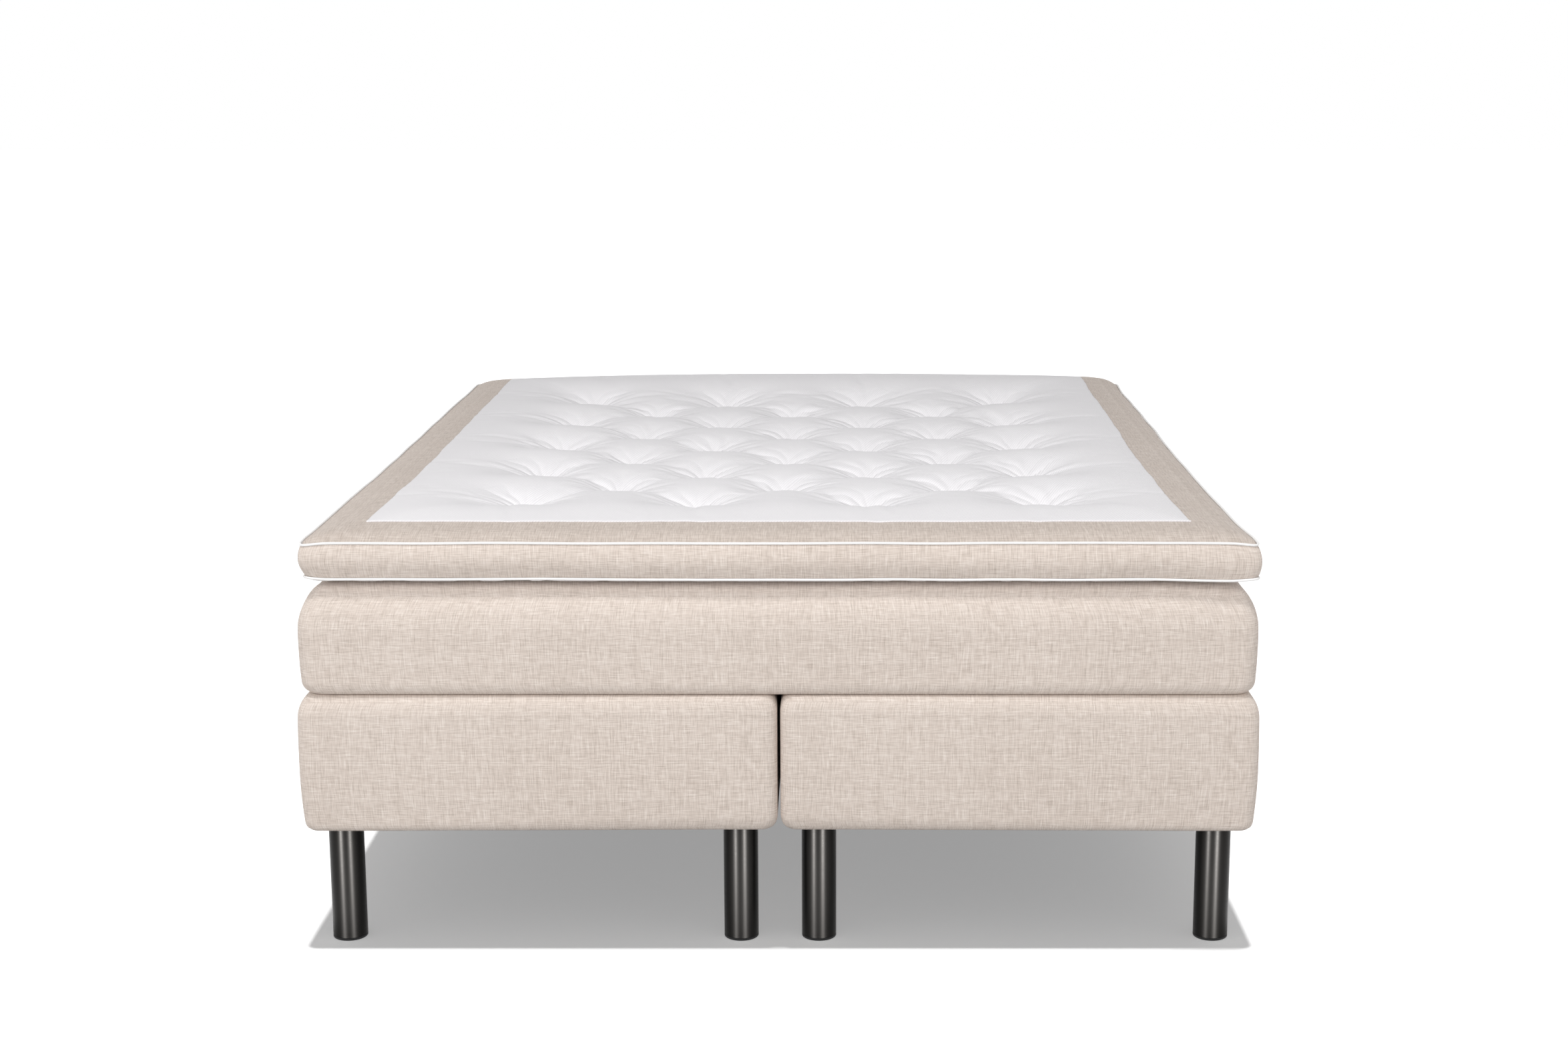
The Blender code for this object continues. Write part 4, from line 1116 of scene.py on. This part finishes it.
stations = [rows_between(-value, value, UNDER_EDGE, UNDER_EDGE_STEP, UNDER_STEP) for value in RIM]
underside, points = cut_grid("topper_under_cloth", stations)
depth = depth_in(points, RIM)
points = in_plan(points, RIM, depth, depth, TOPPER_CORNER * fade(depth, CORNER_FADE))
out, up = seam_stray(points, LOWER)
by_rim = fade(depth, BELLY_WIDTH / 2)
lobes = np.clip(1.6 * wander(points * (1, 1, 0), LOBE_LENGTH, 41), -1, 1)
points[:, 2] = BOTTOM + belly_height(depth) + up * by_rim + drawn_up(depth) * np.clip(lobes, 0, 1)
points[:, :2] += outward(points) * (out * by_rim)[:, None]
set_points(underside, points)
add_wall(underside, UNDER_CLOTH, 1)
apply_modifiers(underside)
finish_piece(underside, "topper_underside", ticking, "topper")
face_outwards(underside)

# %% Pipings
PIPING_STEP = 0.008


def seam_line(height, seam):
    """Points along a seam: round the bed's rounded rectangle, straying as the sewing does."""
    route = []
    wide, long = BED[0] - TOPPER_CORNER, BED[1] - TOPPER_CORNER
    for corner, (sx, sy) in enumerate(((-1, -1), (1, -1), (1, 1), (-1, 1))):
        for step in range(7):
            angle = math.pi + math.pi / 2 * (corner + step / 6)
            route.append((sx * wide + TOPPER_CORNER * math.cos(angle), sy * long + TOPPER_CORNER * math.sin(angle), 0))
    points = []
    for here, there in zip(route, route[1:] + route[:1]):
        here, there = Vector(here), Vector(there)
        count = max(1, round((there - here).length / PIPING_STEP))
        points += [here.lerp(there, i / count) for i in range(count)]
    points = np.array(points)
    out, up = seam_stray(points, seam)
    points[:, :2] += outward(points) * out[:, None]
    points[:, 2] = height + up
    return points


def piping(name, node, height, seam):
    line = bpy.data.curves.new(name, "CURVE")
    line.dimensions = "3D"
    line.bevel_depth = PIPING
    line.bevel_resolution = 3
    route = seam_line(height, seam)
    spline = line.splines.new("POLY")
    spline.points.add(len(route) - 1)
    spline.points.foreach_set("co", np.column_stack((route, np.ones(len(route)))).ravel())
    spline.use_cyclic_u = True
    piece = bpy.data.objects.new(name, line)
    bpy.context.scene.collection.objects.link(piece)
    only(piece)
    bpy.ops.object.convert(target="MESH")
    piece = bpy.context.object
    finish_piece(piece, node, cotton, "topper")


for place, height, seam in (("upper", UPPER_SEAM, UPPER), ("lower", LOWER_SEAM, LOWER)):
    piping(f"topper_{place}_welt", f"topper_{place}_piping", height, seam)

# %% [markdown]
# ## Legs and glides
#
# A leg is a length of 60 mm steel tube with a plate welded in its top and an M8 stud, and a plastic glide is
# pressed into its foot. A lathe profile would do. Here a cylinder is inset and extruded as a turner would think of
# it, first down into the bore and then up into the stud, and a narrow bevel breaks the edges, because an edge
# without one catches no light. One leg is modelled, and the rest are copies with meshes of their own.

# %% Legs
LEG_SIDES = 64
TUBE_WALL = 0.0015
STUD = 0.004
TOP_PLATE = 0.008
EDGE_BREAK = 0.0006
GLIDE_ROUND = 0.0018
# Room between a leg and its neighbours: the glide in its bore, the glide's rim and the cover's hem
LEG_CLEAR = 0.0003


def upright_cylinder(name, low, high, top):
    """A cylinder in this box up to this height, and its radius."""
    middle = ((low.x + high.x) / 2, (low.y + high.y) / 2, (low.z + top) / 2)
    radius = (high.x - low.x) / 2
    return started(name, bpy.ops.mesh.primitive_cylinder_add, vertices=LEG_SIDES, radius=radius, depth=top - low.z,
                   location=middle), radius


def model_leg(name, low, high, stud_top):
    piece, radius = upright_cylinder(name, low, high, stud_top)
    tall = stud_top - low.z
    edit(piece)
    pick(piece, "edges", lambda e: abs(e.verts[0].co.z - e.verts[1].co.z) < 1e-6)
    bpy.ops.mesh.bevel(offset=EDGE_BREAK, segments=2)
    pick(piece, "faces", lambda f: f.normal.z < -0.99)
    bpy.ops.mesh.inset(thickness=TUBE_WALL - EDGE_BREAK)
    extrude_up(tall - TOP_PLATE)
    pick(piece, "faces", lambda f: f.normal.z > 0.99)
    bpy.ops.mesh.inset(thickness=radius - EDGE_BREAK - STUD)
    extrude_up(high.z - stud_top)
    leave_edit()
    face_outwards(piece)
    return piece


def model_glide(name, low, high, rim_top):
    piece, radius = upright_cylinder(name, low, high, rim_top)
    edit(piece)
    pick(piece, "faces", lambda f: f.normal.z > 0.99)
    bpy.ops.mesh.inset(thickness=TUBE_WALL + LEG_CLEAR)
    extrude_up(high.z - rim_top)
    pick(piece, "edges", lambda e: abs(e.verts[0].co.z - low.z) < 1e-6 and abs(e.verts[1].co.z - low.z) < 1e-6)
    bpy.ops.mesh.bevel(offset=GLIDE_ROUND, segments=4)
    leave_edit()
    face_outwards(piece)
    return piece


def copied(first, name, offset):
    """A copy with a mesh of its own, moved by moving its points."""
    piece = duplicated(first, name)
    set_points(piece, get_points(piece) + np.array(offset))
    return piece


leg_names = [name for name in sorted(nodes) if name.endswith("_leg")]
first_low, first_high = box_of(leg_names[0])
glide_low, glide_high = box_of(leg_names[0] + "_glide")
base_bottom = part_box("left_base_cover")[0][2]
LEG_TOP = base_bottom - LEG_CLEAR
first_leg = model_leg("leg_pattern", first_low, first_high, LEG_TOP)
first_glide = model_glide("glide_pattern", glide_low, glide_high, first_low.z - LEG_CLEAR)
for name in leg_names:
    offset = box_of(name)[0] - first_low
    tube = copied(first_leg, name + "_tube", offset)
    finish_piece(tube, name, leg_steel, name)
    glide = copied(first_glide, name + "_foot", offset)
    finish_piece(glide, name + "_glide", glide_plastic, name)
deselect()
bpy.data.objects.remove(first_leg)
bpy.data.objects.remove(first_glide)
print(len(leg_names), "legs")

# %% [markdown]
# ## The frame inside
#
# These nodes keep their shape and get a finish. The rails are planed pine, whose grain runs along the board: noise
# stretched 25 times along one axis, in the colours of early and late wood. The deck is birch plywood. The tee
# nuts are bright zinc-plated steel.

# %% Wood and zinc
def wood(name, along, light, dark, ring):
    """Bare wood with its grain along one axis, and year rings this far apart."""
    scale = [1 / ring] * 3
    scale[along] = 1 / (ring * 25)
    return textured(name, light, 0.62, None, "TexNoise", FINE_NOISE, ((0.38, dark), (0.55, light)), 0.0002, 0.4, scale)


pine_long = wood("planed_pine_lengthwise", 1, "#dcbf8f", "#c49a62", 0.006)
pine_across = wood("planed_pine_crosswise", 0, "#dcbf8f", "#c49a62", 0.006)
plywood = wood("sanded_plywood", 1, "#cfae7d", "#b98f5c", 0.010)
zinc, tree, shader = new_material("zinc_plated_steel", "#c3c6ca", 0.35, METAL)
place = add_node(tree, "TexCoord").outputs["Object"]
add_node(tree, "TexNoise", {"Vector": place, "Scale": 400.0})
vary_roughness(zinc, {"To Min": 0.28, "To Max": 0.42})
print("wood:", pine_long.name, plywood.name)

# %% [markdown]
# ## Soft materials that a cover hides
#
# Dust cloth and spring pockets are spunbond: a non-woven of fine fibres with a lattice of small welded dots. Felt
# is needled from grey waste fibre, so it is flecked. All of them are quite matt.

# %% Non-woven cloth and felt
WELD_DOTS = {"Scale": 330.0, "Randomness": 0.15}
dust_cloth, pocket_cloth = (
    textured(name, plain, 0.9, SOFT, "TexVoronoi", WELD_DOTS, ((0.15, dot), (0.3, plain)), 0.0003, 0.4)
    for name, plain, dot in (("spunbond_black", "#2b2b2c", "#1c1c1d"), ("spunbond_white", "#e9e9e7", "#d8d8d5"))
)
felt = textured("needled_felt", "#8a8987", 1.0, SOFT, "TexNoise", {"Scale": 260.0, "Detail": 5.0, "Roughness": 0.7},
                ((0.35, "#5d5c5b"), (0.5, "#8b8a88"), (0.68, "#b9b6b1")), 0.0006, 0.5)
print("hidden cloth:", dust_cloth.name, pocket_cloth.name, felt.name)

# %% [markdown]
# ## Foam layers
#
# A mattress core is made like a tray: a bottom sheet of foam, a wall of firmer foam round the springs, and a thick
# comfort layer on top, all glued. Each base has one foam pad under its cover. They are sawn from a block, so their
# faces are flat and their edges only just broken. A layer starts as a cut cube, and its rows of points are moved in
# to the line of the cover at their height. The wall's middle is opened at top and bottom, and the two openings are
# bridged.

# %% Foam layers
SAWN_EDGE = 0.002
SAW_WAVE, SAW_WAVE_LENGTH = 0.0006, 0.25
FOAM_STEP = 0.05
MATTRESS_FOAM_CORNER, PAD_CORNER = 0.025, 0.002
# The depth from the side at which a layer no longer follows the cover's round
FOLLOWS_TO = 0.075
MATTRESS_LOW_Z, MATTRESS_HIGH_Z = (corner[2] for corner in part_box("mattress_cover"))
INSIDE = 0.0043
# Depth and height of the curve of the cover's inside, at its upper and its lower edge
UPPER_ROUND, LOWER_ROUND = (0.052, 0.081), (0.023, 0.041)


def inside_cover(z):
    """How far the inside of the mattress cover is in from its widest at this height."""
    upper = fade(MATTRESS_HIGH_Z - INSIDE - z, UPPER_ROUND[1])
    lower = fade(z - MATTRESS_LOW_Z - INSIDE, LOWER_ROUND[1])
    return UPPER_ROUND[0] * (1 - np.sqrt(1 - upper ** 2)) + LOWER_ROUND[0] * (1 - np.sqrt(1 - lower ** 2))


def foam_layer(name, node, body, half, corner, inset, hollow=False):
    low, high = box_of(node)
    middle = np.array(((low.x + high.x) / 2, (low.y + high.y) / 2, 0))
    stations = [rows_between(-value, value, FOLLOWS_TO, FOLLOWS_TO / 6, FOAM_STEP) for value in half]
    edge = [0, SAWN_EDGE / 2, SAWN_EDGE]
    between = list(np.linspace(low.z + SAWN_EDGE, high.z - SAWN_EDGE, 8)[1:-1])
    stations.append([low.z + e for e in edge] + between + [high.z - e for e in edge[::-1]])
    piece = cut_cube(name, stations)
    points = get_points(piece)
    depth = np.maximum(depth_in(points, half), 0)
    to_edge = np.minimum(points[:, 2] - low.z, high.z - points[:, 2])
    broken = SAWN_EDGE * (1 - np.sqrt(1 - fade(to_edge, SAWN_EDGE) ** 2))
    drawn = inset(points[:, 2]) + broken
    spread = depth + drawn * fade(depth, FOLLOWS_TO)
    points = in_plan(points, half, depth, spread, corner * fade(depth, FOLLOWS_TO))
    on_cap = to_edge < 1e-6
    waves = SAW_WAVE * 0.5 * (wander(points, SAW_WAVE_LENGTH, 91) - 1) * on_cap * (depth > SAWN_EDGE)
    points[:, 2] += np.where(points[:, 2] > (low.z + high.z) / 2, waves, -waves)
    set_points(piece, points + middle)
    if hollow:
        edit(piece)
        cut_away(piece, lambda f: abs(f.normal.z) > 0.9 and all(
            max(abs(v.co[axis]) for v in f.verts) < half[axis] - FOLLOWS_TO + 1e-4 for axis in (0, 1)))
        pick(piece, "edges", lambda e: len(e.link_faces) == 1)
        bpy.ops.mesh.bridge_edge_loops()
        leave_edit()
        face_outwards(piece)
    finish_piece(piece, node, foam, body)


mattress_half = tuple(box_of("mattress_foam_wall")[1].xy)
for layer, hollow in (("foam_wall", True), ("top_foam", False), ("bottom_foam", False)):
    foam_layer(f"mattress_{layer}_layer", f"mattress_{layer}", "mattress", mattress_half, MATTRESS_FOAM_CORNER,
               inside_cover, hollow)
for word in ("left", "right"):
    low, high = box_of(f"{word}_base_foam_pad")
    half = ((high.x - low.x) / 2, (high.y - low.y) / 2)
    foam_layer(f"{word}_base_foam_layer", f"{word}_base_foam_pad", f"{word}_base", half, PAD_CORNER,
               lambda z: np.zeros(len(z)))

# %% [markdown]
# ## Pocket springs
#
# Each coil sits in its own fabric pocket, which it fills out like a small barrel, and the pockets are glued to each
# other in rows. One pocket is modelled with only a few dozen faces: a cylinder whose rings are cut in and then drawn
# together at the ends, where the fabric is welded shut. Two arrays repeat it over the whole field.

# %% Spring fields
POCKET_SIDES = 12
# Share of the pocket's full width at each ring, from the end to the middle
POCKET_SHARES = (0.84, 0.985)
WELD_DEPTH = 0.004
BASE_POCKET, MATTRESS_POCKET = 0.075, 0.070


def pocket_field(name, node, body, pocket):
    low, high = box_of(node)
    size = high - low
    count = [max(1, round(length / pocket)) for length in (size.x, size.y)]
    step = [length / number for length, number in zip((size.x, size.y), count)]
    piece = started(name, bpy.ops.mesh.primitive_cylinder_add, vertices=POCKET_SIDES, radius=0.5, depth=1)
    edit(piece)
    pick(piece, "edges", lambda e: abs(e.verts[0].co.z - e.verts[1].co.z) > 0.5)
    bpy.ops.mesh.subdivide(number_cuts=1)
    pick(piece, "faces", lambda f: abs(f.normal.z) > 0.9)
    bpy.ops.mesh.inset(thickness=0.25, use_individual=True)
    leave_edit()
    points = get_points(piece)
    ring = np.rint((0.5 - np.abs(points[:, 2])) * 2).astype(int)
    capped = np.hypot(points[:, 0], points[:, 1]) < 0.4
    points[:, :2] *= np.where(capped, 1.0, np.array(POCKET_SHARES)[ring])[:, None] * min(step)
    points[:, 2] *= size.z - 2 * WELD_DEPTH * capped
    set_points(piece, points + np.array((low.x + step[0] / 2, low.y + step[1] / 2, (low.z + high.z) / 2)))
    for axis in (0, 1):
        array = piece.modifiers.new("row", "ARRAY")
        array.use_relative_offset = False
        array.use_constant_offset = True
        array.constant_offset_displace = [step[axis] if way == axis else 0 for way in range(3)]
        array.count = count[axis]
    apply_modifiers(piece)
    finish_piece(piece, node, pocket_cloth, body)
    print(name, count, "pockets")
    return piece


for word in ("left", "right"):
    pocket_field(f"{word}_base_pockets", f"{word}_base_spring_unit", f"{word}_base", BASE_POCKET)
pocket_field("mattress_pockets", "mattress_pocket_spring_core", "mattress", MATTRESS_POCKET)

# %% [markdown]
# ## Felt, dust covers and the mattress's bottom panel
#
# These are sheets. The felt pad lies on the springs and keeps them out of the foam. The dust cover is black spunbond
# stretched under the frame, with a hole for each leg's stud, and the same cloth closes the mattress underneath. A
# grid gets a shallow wave, since cloth that is stapled at its edge is never quite flat, and Solidify gives it its
# thickness. A hole starts as the four faces round a stud's axis, and the eight points on its edge are moved onto a
# circle.

# %% Thin sheets
HOLE, HOLE_CLEAR = 0.0058, 0.014
SHEET_STEP = 0.025
SHEET_WAVE_LENGTH = 0.16
DUST_CLOTH, FELT, BOTTOM_CLOTH = 0.0006, 0.0032, 0.0030


def thin_sheet(name, node, body, material, wall, holes=()):
    low, high = box_of(node)
    stations = []
    for axis in (0, 1):
        rows = list(np.linspace(low[axis], high[axis], round((high[axis] - low[axis]) / SHEET_STEP) + 1))
        for centre in sorted({hole[axis] for hole in holes}):
            rows = [row for row in rows if abs(row - centre) > HOLE_CLEAR] + [centre - HOLE, centre, centre + HOLE]
        stations.append(sorted(rows))
    piece, points = cut_grid(name, stations)
    edit(piece)
    cut_away(piece, lambda f: any(max(abs(f.calc_center_median()[axis] - hole[axis]) for axis in (0, 1)) < HOLE
                                  for hole in holes))
    leave_edit()
    points = get_points(piece)
    for x, y in holes:
        off = points[:, :2] - (x, y)
        far = np.hypot(off[:, 0], off[:, 1])
        rim = (far < 1.5 * HOLE) & (far > 1e-5)
        points[rim, :2] = (x, y) + off[rim] * (HOLE / far[rim])[:, None]
    room = (high.z - low.z - wall) / 2
    points[:, 2] = low.z + room + room * 0.95 * wander(points * (1, 1, 0), SHEET_WAVE_LENGTH, 101)
    set_points(piece, points)
    add_wall(piece, wall, 1)
    apply_modifiers(piece)
    finish_piece(piece, node, material, body)


for word in ("left", "right"):
    studs = [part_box(name) for name in leg_names if name.startswith(word)]
    axes = [((low[0] + high[0]) / 2, (low[1] + high[1]) / 2) for low, high in studs]
    thin_sheet(f"{word}_base_dust_cloth", f"{word}_base_dust_cover", f"{word}_base", dust_cloth,
               DUST_CLOTH, holes=axes)
    thin_sheet(f"{word}_base_felt", f"{word}_base_felt_pad", f"{word}_base", felt, FELT)
thin_sheet("mattress_bottom_cloth", "mattress_bottom_panel", "mattress", dust_cloth,
           BOTTOM_CLOTH)

# %% Finishes of the nodes that stay
FINISHES = {
    "outer_rail": pine_long, "inner_rail": pine_long, "foot_rail": pine_across, "head_rail": pine_across,
    "cross_rail": pine_across, "base_deck": plywood, "tee_nut": zinc,
}
for name, node in nodes.items():
    for ending, material in FINISHES.items():
        if name.endswith(ending):
            for slot in node.material_slots:
                slot.material = material
print(sum(name.endswith(tuple(FINISHES)) for name in nodes), "nodes keep their shape")

# %% [markdown]
# ## Floor and light
#
# The bed stands on a white studio floor. A large softbox hangs high over the foot end, far enough away that the near
# end gets only a little more of it than the far one. Two more in front, lower, light its foot end, and three weak
# ones near the ground fill in the linen of the sides and the head end. They spare the panel, where light from the
# side would wash out the tufts. Each leg shows two bright upright lines, from two narrow strips that light only the
# legs. The floor and the world show white to the camera and in reflections, and a dim grey to everything else, so the
# picture has its white ground without more light on the bed. A sun straight overhead that only the floor sees lays
# the bed's plain soft-edged shadow on it.

# %% Floor
def ray_is(tree, *kinds):
    """1 for a ray of one of these kinds."""
    path = add_node(tree, "LightPath")
    total = path.outputs[kinds[0]]
    for kind in kinds[1:]:
        total = add_node(tree, "Math", {0: total, 1: path.outputs[kind]}, operation="MAXIMUM").outputs[0]
    return total


SHOWN = ("Is Camera Ray", "Is Glossy Ray", "Is Transmission Ray")
FLOOR_GLOW = 0.315

floor_paint = bpy.data.materials.new("studio_floor")
floor_paint.use_nodes = True
tree = floor_paint.node_tree
tree.nodes.remove(tree.nodes["Principled BSDF"])
matt = add_node(tree, "BsdfDiffuse", {"Color": (0.85, 0.85, 0.85, 1)})
glow = add_node(tree, "Emission", {"Color": (1, 1, 1, 1), "Strength": FLOOR_GLOW})
lit = add_node(tree, "AddShader", {0: matt.outputs[0], 1: glow.outputs[0]})
dull = add_node(tree, "BsdfDiffuse", {"Color": (0.45, 0.45, 0.45, 1)})
mixed = add_node(tree, "MixShader", {0: ray_is(tree, *SHOWN), 1: dull.outputs[0], 2: lit.outputs[0]})
tree.links.new(mixed.outputs[0], tree.nodes["Material Output"].inputs["Surface"])

floor = started("floor", bpy.ops.mesh.primitive_plane_add, size=60, location=(0, 10, 0))
floor.data.materials.append(floor_paint)
print("floor:", floor.name)

# %% Light
# Name, place, the point it is aimed at, size and watts
AREA_LIGHTS = (
    ("softbox_left", (-2.9, -5.4, 3.0), (0, -0.6, 0.35), (0.6, 2.0), 112),
    ("softbox_right", (2.3, -5.4, 3.0), (0, -0.6, 0.35), (0.6, 2.0), 77),
    ("softbox_overhead", (-0.9, -3.9, 8.2), (0, 0, 0.7), (2.0, 2.0), 283),
    ("fill_left", (-6, 0.6, 1.0), (0, 0.6, 0.4), (3.0, 1.2), 50),
    ("fill_right", (6, 0.6, 1.0), (0, 0.6, 0.4), (3.0, 1.2), 50),
    ("fill_back", (0, 7, 1.0), (0, 0, 0.4), (3.0, 1.2), 95),
    ("strip_left", (-3.2, -5.9, 0.5), (-0.8, -0.9, 0.1), (0.45, 1.0), 1000),
    ("strip_right", (2.4, -5.9, 0.5), (0.6, -0.9, 0.1), (0.45, 1.0), 1000),
)
SUN_STRENGTH, SUN_WIDTH = 3.2, math.radians(2.5)
WORLD_GREY = 0.25


def area_light(name, place, target, size, watts):
    deselect()
    bpy.ops.object.light_add(type="AREA", location=place)
    lamp = named(bpy.context.object, name)
    lamp.rotation_euler = (Vector(target) - Vector(place)).to_track_quat("-Z", "Y").to_euler()
    lamp.data.shape = "RECTANGLE"
    lamp.data.size, lamp.data.size_y = size
    lamp.data.energy = watts
    return lamp


def collected(name, pieces, left_out=False):
    """A collection that a light is linked to: it lights these pieces only, or all but them."""
    made = bpy.data.collections.new(name)
    for piece in pieces:
        made.objects.link(piece)
    if left_out:
        for member in made.collection_objects:
            member.light_linking.link_state = "EXCLUDE"
    return made


for light in AREA_LIGHTS:
    area_light(*light)
deselect()
bpy.ops.object.light_add(type="SUN", location=(0, 0, 4))
sun = named(bpy.context.object, "floor_sun")
sun.data.energy = SUN_STRENGTH
sun.data.angle = SUN_WIDTH

tubes = [piece for piece in bpy.data.objects if piece.name.endswith("_tube")]
linked = {
    "floor_sun": collected("floor_only", [floor]),
    "strip": collected("legs_only", tubes),
    "softbox": collected("lit_by_softbox", [floor], left_out=True),
    "fill": collected("lit_by_fill", [floor, panel, *tubes], left_out=True),
}
for lamp in bpy.data.objects:
    for beginning, receivers in linked.items():
        if lamp.name.startswith(beginning):
            lamp.light_linking.receiver_collection = receivers

world = bpy.data.worlds.new("studio")
bpy.context.scene.world = world
world.use_nodes = True
tree = world.node_tree
background = tree.nodes["Background"]
strength = add_node(tree, "MapRange", {"Value": ray_is(tree, *SHOWN), "To Min": WORLD_GREY, "To Max": 1.0})
background.inputs["Color"].default_value = (1, 1, 1, 1)
tree.links.new(strength.outputs[0], background.inputs["Strength"])
bpy.context.scene.view_settings.view_transform = "Standard"
